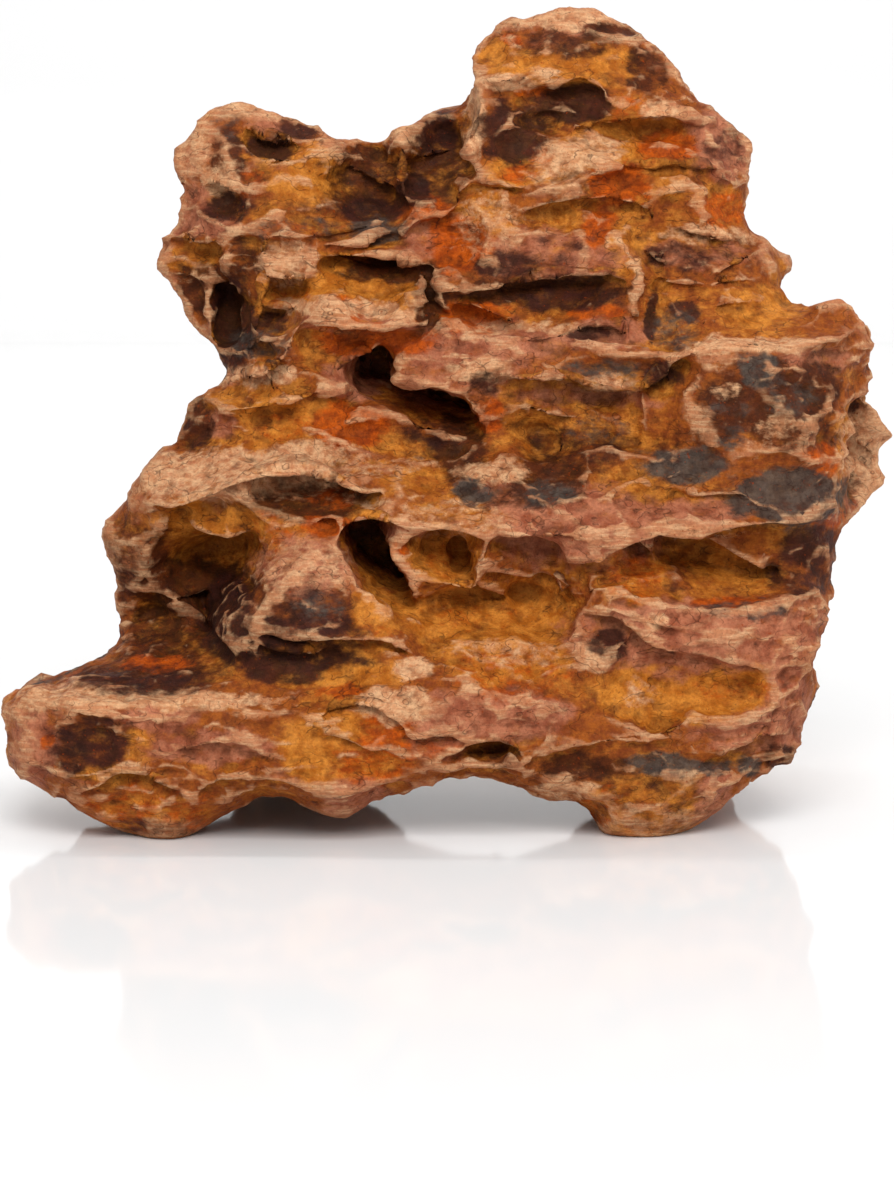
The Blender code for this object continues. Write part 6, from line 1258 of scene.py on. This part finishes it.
def stone_material(colours, skin):
    """Bamboo stone: weathered, iron-stained silt and chert in thin beds. Its lips are rubbed to a pale
    crust, its hollows hold ochre and rust, and its deep pockets are almost black. The pale of what stands
    out is partly a painted highlight, and the dark of the deepest hollows and the creases is partly painted
    shade over stain and dirt. All of it is matt, with a faint wax-like gleam where the chert shows."""
    material = bpy.data.materials.new("iron_stained_stone")
    material.use_nodes = True
    tree = material.node_tree
    shader = tree.nodes["Principled BSDF"]
    place = add(tree, "ShaderNodeTexCoord").outputs["Object"]
    place = add(tree, "ShaderNodeVectorMath", {"operation": "SCALE", "Scale": 1 / MM}, {0: place}).outputs[0]
    noise = {name: mottled(tree, place, *settings) for name, settings in PATTERNS.items()}
    crest = mark(tree, "crest")
    hollow = mark(tree, "hollow")
    colour = bare_stone(tree, colours, hollow, noise)
    colour = stained(tree, place, colour, colours)
    weathered = eased(tree, noise["weather"], 0.52, 0.70, 0.0, 0.55)
    colour = blend(tree, weathered, colour, tuple(colours.brown))

    # The lips that stand out at both scales turn pale, more in some patches than in others: partly a crust
    # rubbed by hands and water, partly a painted highlight.
    lip = sum_of(tree, crest, hollow, -0.9)
    rubbed = eased(tree, shaken(tree, lip, noise["spots"], 1.6), 0.50, 1.50, 0.0, skin.rubbed)
    rubbed = times(tree, rubbed, eased(tree, noise["patches"], 0.38, 0.56, 0.40, 1.0))
    banded = eased(tree, noise["beds"], 0.42, 0.62)
    crust = blend(tree, banded, tuple(colours.cream), tuple(colours.cream_pale))
    colour = blend(tree, rubbed, colour, crust)

    # Specks of rust, pits, and the creases of the wear darkened, partly by the dirt they hold and partly as
    # painted shade.
    colour = blend(tree, eased(tree, noise["specks"], 0.64, 0.72, 0.0, 0.7), colour, tuple(colours.rust))
    colour = blend(tree, eased(tree, noise["pits"], 0.63, 0.74, 0.0, 0.6), colour, tuple(colours.deep_brown_and_shade))
    colour = blend(tree, eased(tree, crest, -0.35, -1.00, 0.0, skin.crease_dirt_and_shade), colour, tuple(colours.deep_brown_and_shade))
    colour, steps = flaked(tree, place, colour, colours, noise["flakes"])
    colour = blend(tree, 1.0, colour, eased(tree, noise["grain"], 0.30, 0.70, 0.84, 1.14), "MULTIPLY")
    tree.links.new(colour, shader.inputs["Base Color"])

    # Silt is matt; chert, in some patches, is smoother. Dust keeps the highlights weak.
    gleam = eased(tree, noise["patches"], 0.40, 0.66, skin.roughness + 0.12, skin.roughness - 0.14)
    tree.links.new(gleam, shader.inputs["Roughness"])
    shader.inputs["IOR"].default_value = STONE_IOR
    shader.inputs["Specular IOR Level"].default_value = STONE_SPECULAR
    shader.inputs["Metallic"].default_value = 0.0

    # Grain, beds and flakes too thin for the mesh.
    height = sum_of(tree, noise["grain"], noise["spots"], 1.4)
    height = sum_of(tree, height, noise["beds"], 1.2)
    height = sum_of(tree, height, steps, 0.4)
    settings = {"Strength": skin.bump, "Distance": BUMP_DEPTH * MM}
    bump = add(tree, "ShaderNodeBump", settings, {"Height": height})
    tree.links.new(bump.outputs[0], shader.inputs["Normal"])
    return material


def floor_material(colour):
    """White acrylic sheet, polished: it throws back a faint, blurred image of the stone's foot."""
    material = bpy.data.materials.new("white_acrylic_sheet")
    material.use_nodes = True
    shader = material.node_tree.nodes["Principled BSDF"]
    shader.inputs["Base Color"].default_value = colour
    shader.inputs["Roughness"].default_value = FLOOR_ROUGHNESS
    shader.inputs["IOR"].default_value = FLOOR_IOR
    return material


# The floor, in metres: half its width, its near edge, where it starts to bend up, the bend and how many
# places it is drawn at, and its top.
FLOOR_HALF = 1.6
FLOOR_NEAR = -2.2
FLOOR_FAR = 1.2
FLOOR_BEND = 0.5
BEND_PLACES = 24
FLOOR_TOP = 1.6

# The lamps, in metres: size, place, and the point that each one is turned to.
LAMPS = {
    "overhead_lamp": ((0.8, 0.6), (0.05, -0.87, 0.86), (0.0, 0.0, 0.10)),
    "side_lamp": ((0.5, 0.7), (0.95, 0.05, 0.50), (0.05, 0.0, 0.10)),
    "backdrop_lamp": ((2.4, 0.4), (0.0, 0.45, 1.5), (0.0, 1.7, 0.55)),
}


def colour_property(name, description, code):
    """A colour that the user can change, with an sRGB hex default."""
    return bpy.props.FloatVectorProperty(name=name, description=description, subtype="COLOR", size=4,
                                         min=0.0, max=1.0, default=linear(code))


class BambooRockShape(bpy.types.PropertyGroup):
    """How fine the stone is made, and how deep its wear is, in millimetres."""
    triangles: bpy.props.IntProperty(
        name="Triangles", description="How many faces the stone keeps", default=196000, min=10000,
        max=199000)
    small_bowls: bpy.props.FloatProperty(
        name="Small Bowls", description="Depth of the bowls about 6 mm wide", default=1.5, min=0.0, max=3.0)
    tiny_bowls: bpy.props.FloatProperty(
        name="Tiny Bowls", description="Depth of the bowls about 2 mm wide", default=0.55, min=0.0, max=2.0)
    creases: bpy.props.FloatProperty(
        name="Creases", description="Height of the fine sharp ridges", default=0.45, min=0.0, max=2.0)
    thick_beds: bpy.props.FloatProperty(
        name="Thick Beds", description="How far the thick beds step in and out", default=0.8, min=0.0,
        max=3.0)
    thin_beds: bpy.props.FloatProperty(
        name="Thin Beds", description="How far the thin beds step in and out", default=0.42, min=0.0,
        max=2.0)
    grit: bpy.props.FloatProperty(
        name="Grit", description="Height of the finest lumps", default=0.14, min=0.0, max=1.0)


class BambooRockSkin(bpy.types.PropertyGroup):
    """How the stone's skin is worn and lit."""
    # How pale the lips that stand out turn: partly a rubbed crust, partly a painted highlight.
    rubbed: bpy.props.FloatProperty(
        name="Rubbed Lips", description="How pale the lips are rubbed", default=0.72, min=0.0, max=1.0,
        subtype="FACTOR")
    # How dark the concave creases turn: partly dirt, partly painted shade.
    crease_dirt_and_shade: bpy.props.FloatProperty(
        name="Dirt", description="How dark the cracks are", default=0.35, min=0.0, max=1.0, subtype="FACTOR")
    roughness: bpy.props.FloatProperty(
        name="Roughness", description="Mean roughness of the stone", default=0.68, min=0.2, max=0.85,
        subtype="FACTOR")
    bump: bpy.props.FloatProperty(
        name="Grain", description="Strength of the grain too fine for the mesh", default=0.55, min=0.0,
        max=1.0, subtype="FACTOR")


class BambooRockColours(bpy.types.PropertyGroup):
    """The stone's stains, and the colours of its painted highlight and shade."""
    tan: colour_property("Tan", "Bare stone", "#984F18")
    clay: colour_property("Clay", "Bare stone, redder", "#7A3813")
    ochre: colour_property("Ochre", "Iron stain in the hollows", "#A25812")
    ochre_pale: colour_property("Pale Ochre", "Iron stain, thin", "#CE8230")
    pink: colour_property("Pink", "Beds of pink silt", "#8C4A32")
    pink_pale: colour_property("Pale Pink", "Beds of pink silt, rubbed", "#B57152")
    # Brown also paints the shade in the deepest hollows, and Deep Brown the shade in the creases and the
    # shadow below the flakes' edges.
    brown: colour_property("Brown", "Old stain in the recesses", "#4E210A")
    deep_brown_and_shade: colour_property("Deep Brown", "Old stain, thick", "#2B1105")
    rust: colour_property("Rust", "Rust", "#883203")
    rust_bright: colour_property("Bright Rust", "Fresh rust", "#BE5208")
    maroon: colour_property("Maroon", "Iron-black coat in the pockets", "#3C1A13")
    maroon_deep: colour_property("Deep Maroon", "Iron-black coat, thick", "#25100A")
    grey: colour_property("Grey", "Slate coloured chert", "#382F2A")
    grey_pale: colour_property("Pale Grey", "Slate coloured chert, rubbed", "#50463E")
    # Cream and Pale Cream, with Pale Pink, also paint the highlight on what stands out.
    cream: colour_property("Cream", "Pale crust on the crests", "#BC7E55")
    cream_pale: colour_property("Pale Cream", "Pale crust, thick", "#DAAA7E")


class BambooRockStudio(bpy.types.PropertyGroup):
    """The floor and the light."""
    floor: colour_property("Floor", "Colour of the floor", "#F0F0F0")
    sky: bpy.props.FloatProperty(
        name="Room Light", description="Strength of the white room", default=0.44, min=0.0, max=5.0)
    lamp: bpy.props.FloatProperty(
        name="Lamp", description="Power of the large lamp overhead", default=12.0, min=0.0, max=500.0,
        unit="POWER")
    side: bpy.props.FloatProperty(
        name="Side Lamp", description="Power of the soft lamp at the right", default=2.0, min=0.0, max=500.0,
        unit="POWER")
    wash: bpy.props.FloatProperty(
        name="Backdrop Lamp", description="Power of the lamp on the backdrop", default=20.0, min=0.0,
        max=500.0, unit="POWER")


class BAMBOO_ROCK_OT_stone(bpy.types.Operator):
    """Make the stone from its face, its back and its feet, wear it down and stain it"""
    bl_idname = "bamboo_rock.stone"
    bl_label = "Stone"
    bl_options = {"REGISTER", "UNDO"}

    def execute(self, context):
        """Join sheets and feet to one skin, wear it, thin it, and give it its stains."""
        scene = context.scene
        points, faces, middle = stone_sheets()
        sheets = bpy.data.meshes.new("bamboo_rock_stone")
        sheets.from_pydata(points, [], faces)
        shape = bmesh.new()
        shape.from_mesh(sheets)
        for across, back, up, half_width, half_depth, half_height in FEET:
            centre = (np.array([across, back, up]) + STONE_SHIFT) * MM
            size = Matrix.Diagonal((half_width * MM, half_depth * MM, half_height * MM, 1.0))
            place = Matrix.Translation(centre) @ size
            bmesh.ops.create_icosphere(shape, subdivisions=FOOT_SUBDIVISIONS, radius=1.0, matrix=place)
        shape.to_mesh(sheets)
        shape.free()
        stone = bpy.data.objects.new("bamboo_rock_stone", sheets)
        scene.collection.objects.link(stone)

        skin = stone.modifiers.new("one_skin", "REMESH")
        skin.mode = "VOXEL"
        skin.voxel_size = VOXEL
        mesh = finished_mesh(stone)
        points = smoothed_points(vertex_array(mesh, "co"), edge_array(mesh), SMOOTHING)
        mesh.vertices.foreach_set("co", points.ravel())
        mesh.update()
        normals = vertex_array(mesh, "normal")
        points += normals * (worn(points, normals, scene.bamboo_rock_shape) * MM)[:, None]
        mesh.vertices.foreach_set("co", points.ravel())

        behind = normals[:, 1] > BACK_NORMAL
        group = stone.vertex_groups.new(name="thin_here")
        group.add(np.nonzero(behind)[0].tolist(), 1.0, "REPLACE")
        group.add(np.nonzero(~behind)[0].tolist(), FRONT_KEEP, "REPLACE")
        thin = stone.modifiers.new("fewer_faces", "DECIMATE")
        thin.vertex_group = group.name
        thin.vertex_group_factor = KEEP_FACTOR
        thin.ratio = scene.bamboo_rock_shape.triangles / (2 * len(mesh.polygons))
        thin.use_collapse_triangulate = True
        mesh = finished_mesh(stone)
        stone.vertex_groups.clear()
        points = vertex_array(mesh, "co")
        points[:, 2] = np.maximum(points[:, 2], 0.0)
        mesh.vertices.foreach_set("co", points.ravel())
        mesh.update()
        colour_marks(mesh, middle)
        mesh.materials.clear()
        mesh.materials.append(stone_material(scene.bamboo_rock_colours, scene.bamboo_rock_skin))
        mesh.shade_smooth()
        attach(stone, "root")
        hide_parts(NAME)
        return {"FINISHED"}


class BAMBOO_ROCK_OT_studio(bpy.types.Operator):
    """Set up the floor, the light and the camera"""
    bl_idname = "bamboo_rock.studio"
    bl_label = "Studio"
    bl_options = {"REGISTER", "UNDO"}

    def lamp(self, name, power, size, place, target):
        """A rectangular lamp at a place, turned towards a target."""
        light = bpy.data.lights.new(name, "AREA")
        light.shape = "RECTANGLE"
        light.size, light.size_y = size
        light.energy = power
        lamp = bpy.data.objects.new(name, light)
        lamp.location = place
        lamp.rotation_euler = (Vector(target) - lamp.location).to_track_quat("-Z", "Y").to_euler()
        bpy.context.scene.collection.objects.link(lamp)

    def execute(self, context):
        """Make the floor, the room's light, the lamps and the eye."""
        scene = context.scene
        studio = scene.bamboo_rock_studio
        turn = np.linspace(0.0, math.pi / 2, BEND_PLACES)
        run = np.concatenate([[FLOOR_NEAR], FLOOR_FAR + FLOOR_BEND * np.sin(turn), [FLOOR_FAR + FLOOR_BEND]])
        rise = np.concatenate([[0.0], FLOOR_BEND * (1.0 - np.cos(turn)), [FLOOR_TOP]])
        points = np.array([(side * FLOOR_HALF, y, z) for y, z in zip(run, rise) for side in (-1, 1)])
        first = 2 * np.arange(len(run) - 1)
        faces = np.stack([first, first + 1, first + 3, first + 2], axis=1)
        sweep = bpy.data.meshes.new("floor")
        sweep.from_pydata(points, [], faces.tolist())
        sweep.shade_smooth()
        sweep.materials.append(floor_material(studio.floor))
        floor = bpy.data.objects.new("floor", sweep)
        scene.collection.objects.link(floor)

        world = bpy.data.worlds.new("white_room")
        world.use_nodes = True
        world.node_tree.nodes["Background"].inputs["Color"].default_value = (1.0, 1.0, 1.0, 1.0)
        world.node_tree.nodes["Background"].inputs["Strength"].default_value = studio.sky
        scene.world = world
        scene.view_settings.view_transform = "Standard"

        powers = {"overhead_lamp": studio.lamp, "side_lamp": studio.side, "backdrop_lamp": studio.wash}
        for name, power in powers.items():
            self.lamp(name, power, *LAMPS[name])

        eye = bpy.data.cameras.new("eye")
        eye.sensor_fit = "HORIZONTAL"
        eye.sensor_width = SENSOR_WIDTH
        eye.lens = SENSOR_WIDTH * EYE_DISTANCE / PICTURE_WIDTH
        camera = bpy.data.objects.new("eye", eye)
        camera.location = to_frame(0.0, EYE_HEIGHT, EYE_DISTANCE)
        camera.rotation_euler = (math.pi / 2 - LEAN, 0.0, 0.0)
        scene.collection.objects.link(camera)
        scene.camera = camera
        return {"FINISHED"}


class BAMBOO_ROCK_PT_panel(bpy.types.Panel):
    """Sizes and colours of the stone and its studio"""
    bl_idname = "BAMBOO_ROCK_PT_panel"
    bl_label = "Bamboo Rock"
    bl_space_type = "VIEW_3D"
    bl_region_type = "UI"
    bl_category = "Stone"

    def draw(self, context):
        """One box for each group of settings."""
        layout = self.layout
        for title, group, names, operator in SECTIONS:
            box = layout.box()
            box.label(text=title)
            settings = getattr(context.scene, group)
            for name in names:
                box.prop(settings, name)
            if operator:
                box.operator(operator)


GROUPS = {
    "bamboo_rock_shape": BambooRockShape,
    "bamboo_rock_skin": BambooRockSkin,
    "bamboo_rock_colours": BambooRockColours,
    "bamboo_rock_studio": BambooRockStudio,
}
SECTIONS = (
    ("Shape", "bamboo_rock_shape", tuple(BambooRockShape.__annotations__), None),
    ("Skin", "bamboo_rock_skin", tuple(BambooRockSkin.__annotations__), None),
    ("Stains", "bamboo_rock_colours", tuple(BambooRockColours.__annotations__), "bamboo_rock.stone"),
    ("Studio", "bamboo_rock_studio", tuple(BambooRockStudio.__annotations__), "bamboo_rock.studio"),
)
CLASSES = tuple(GROUPS.values()) + (BAMBOO_ROCK_OT_stone, BAMBOO_ROCK_OT_studio, BAMBOO_ROCK_PT_panel)


def register():
    """Add the classes and give the scene their settings."""
    for kind in CLASSES:
        bpy.utils.register_class(kind)
    for name, kind in GROUPS.items():
        setattr(bpy.types.Scene, name, bpy.props.PointerProperty(type=kind))


def unregister():
    """Take the settings and the classes away again."""
    for name in GROUPS:
        delattr(bpy.types.Scene, name)
    for kind in reversed(CLASSES):
        bpy.utils.unregister_class(kind)


def main():
    """Build the stone and its studio."""
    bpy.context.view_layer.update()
    register()
    bpy.ops.bamboo_rock.stone()
    bpy.ops.bamboo_rock.studio()


if __name__ == "__main__":
    main()
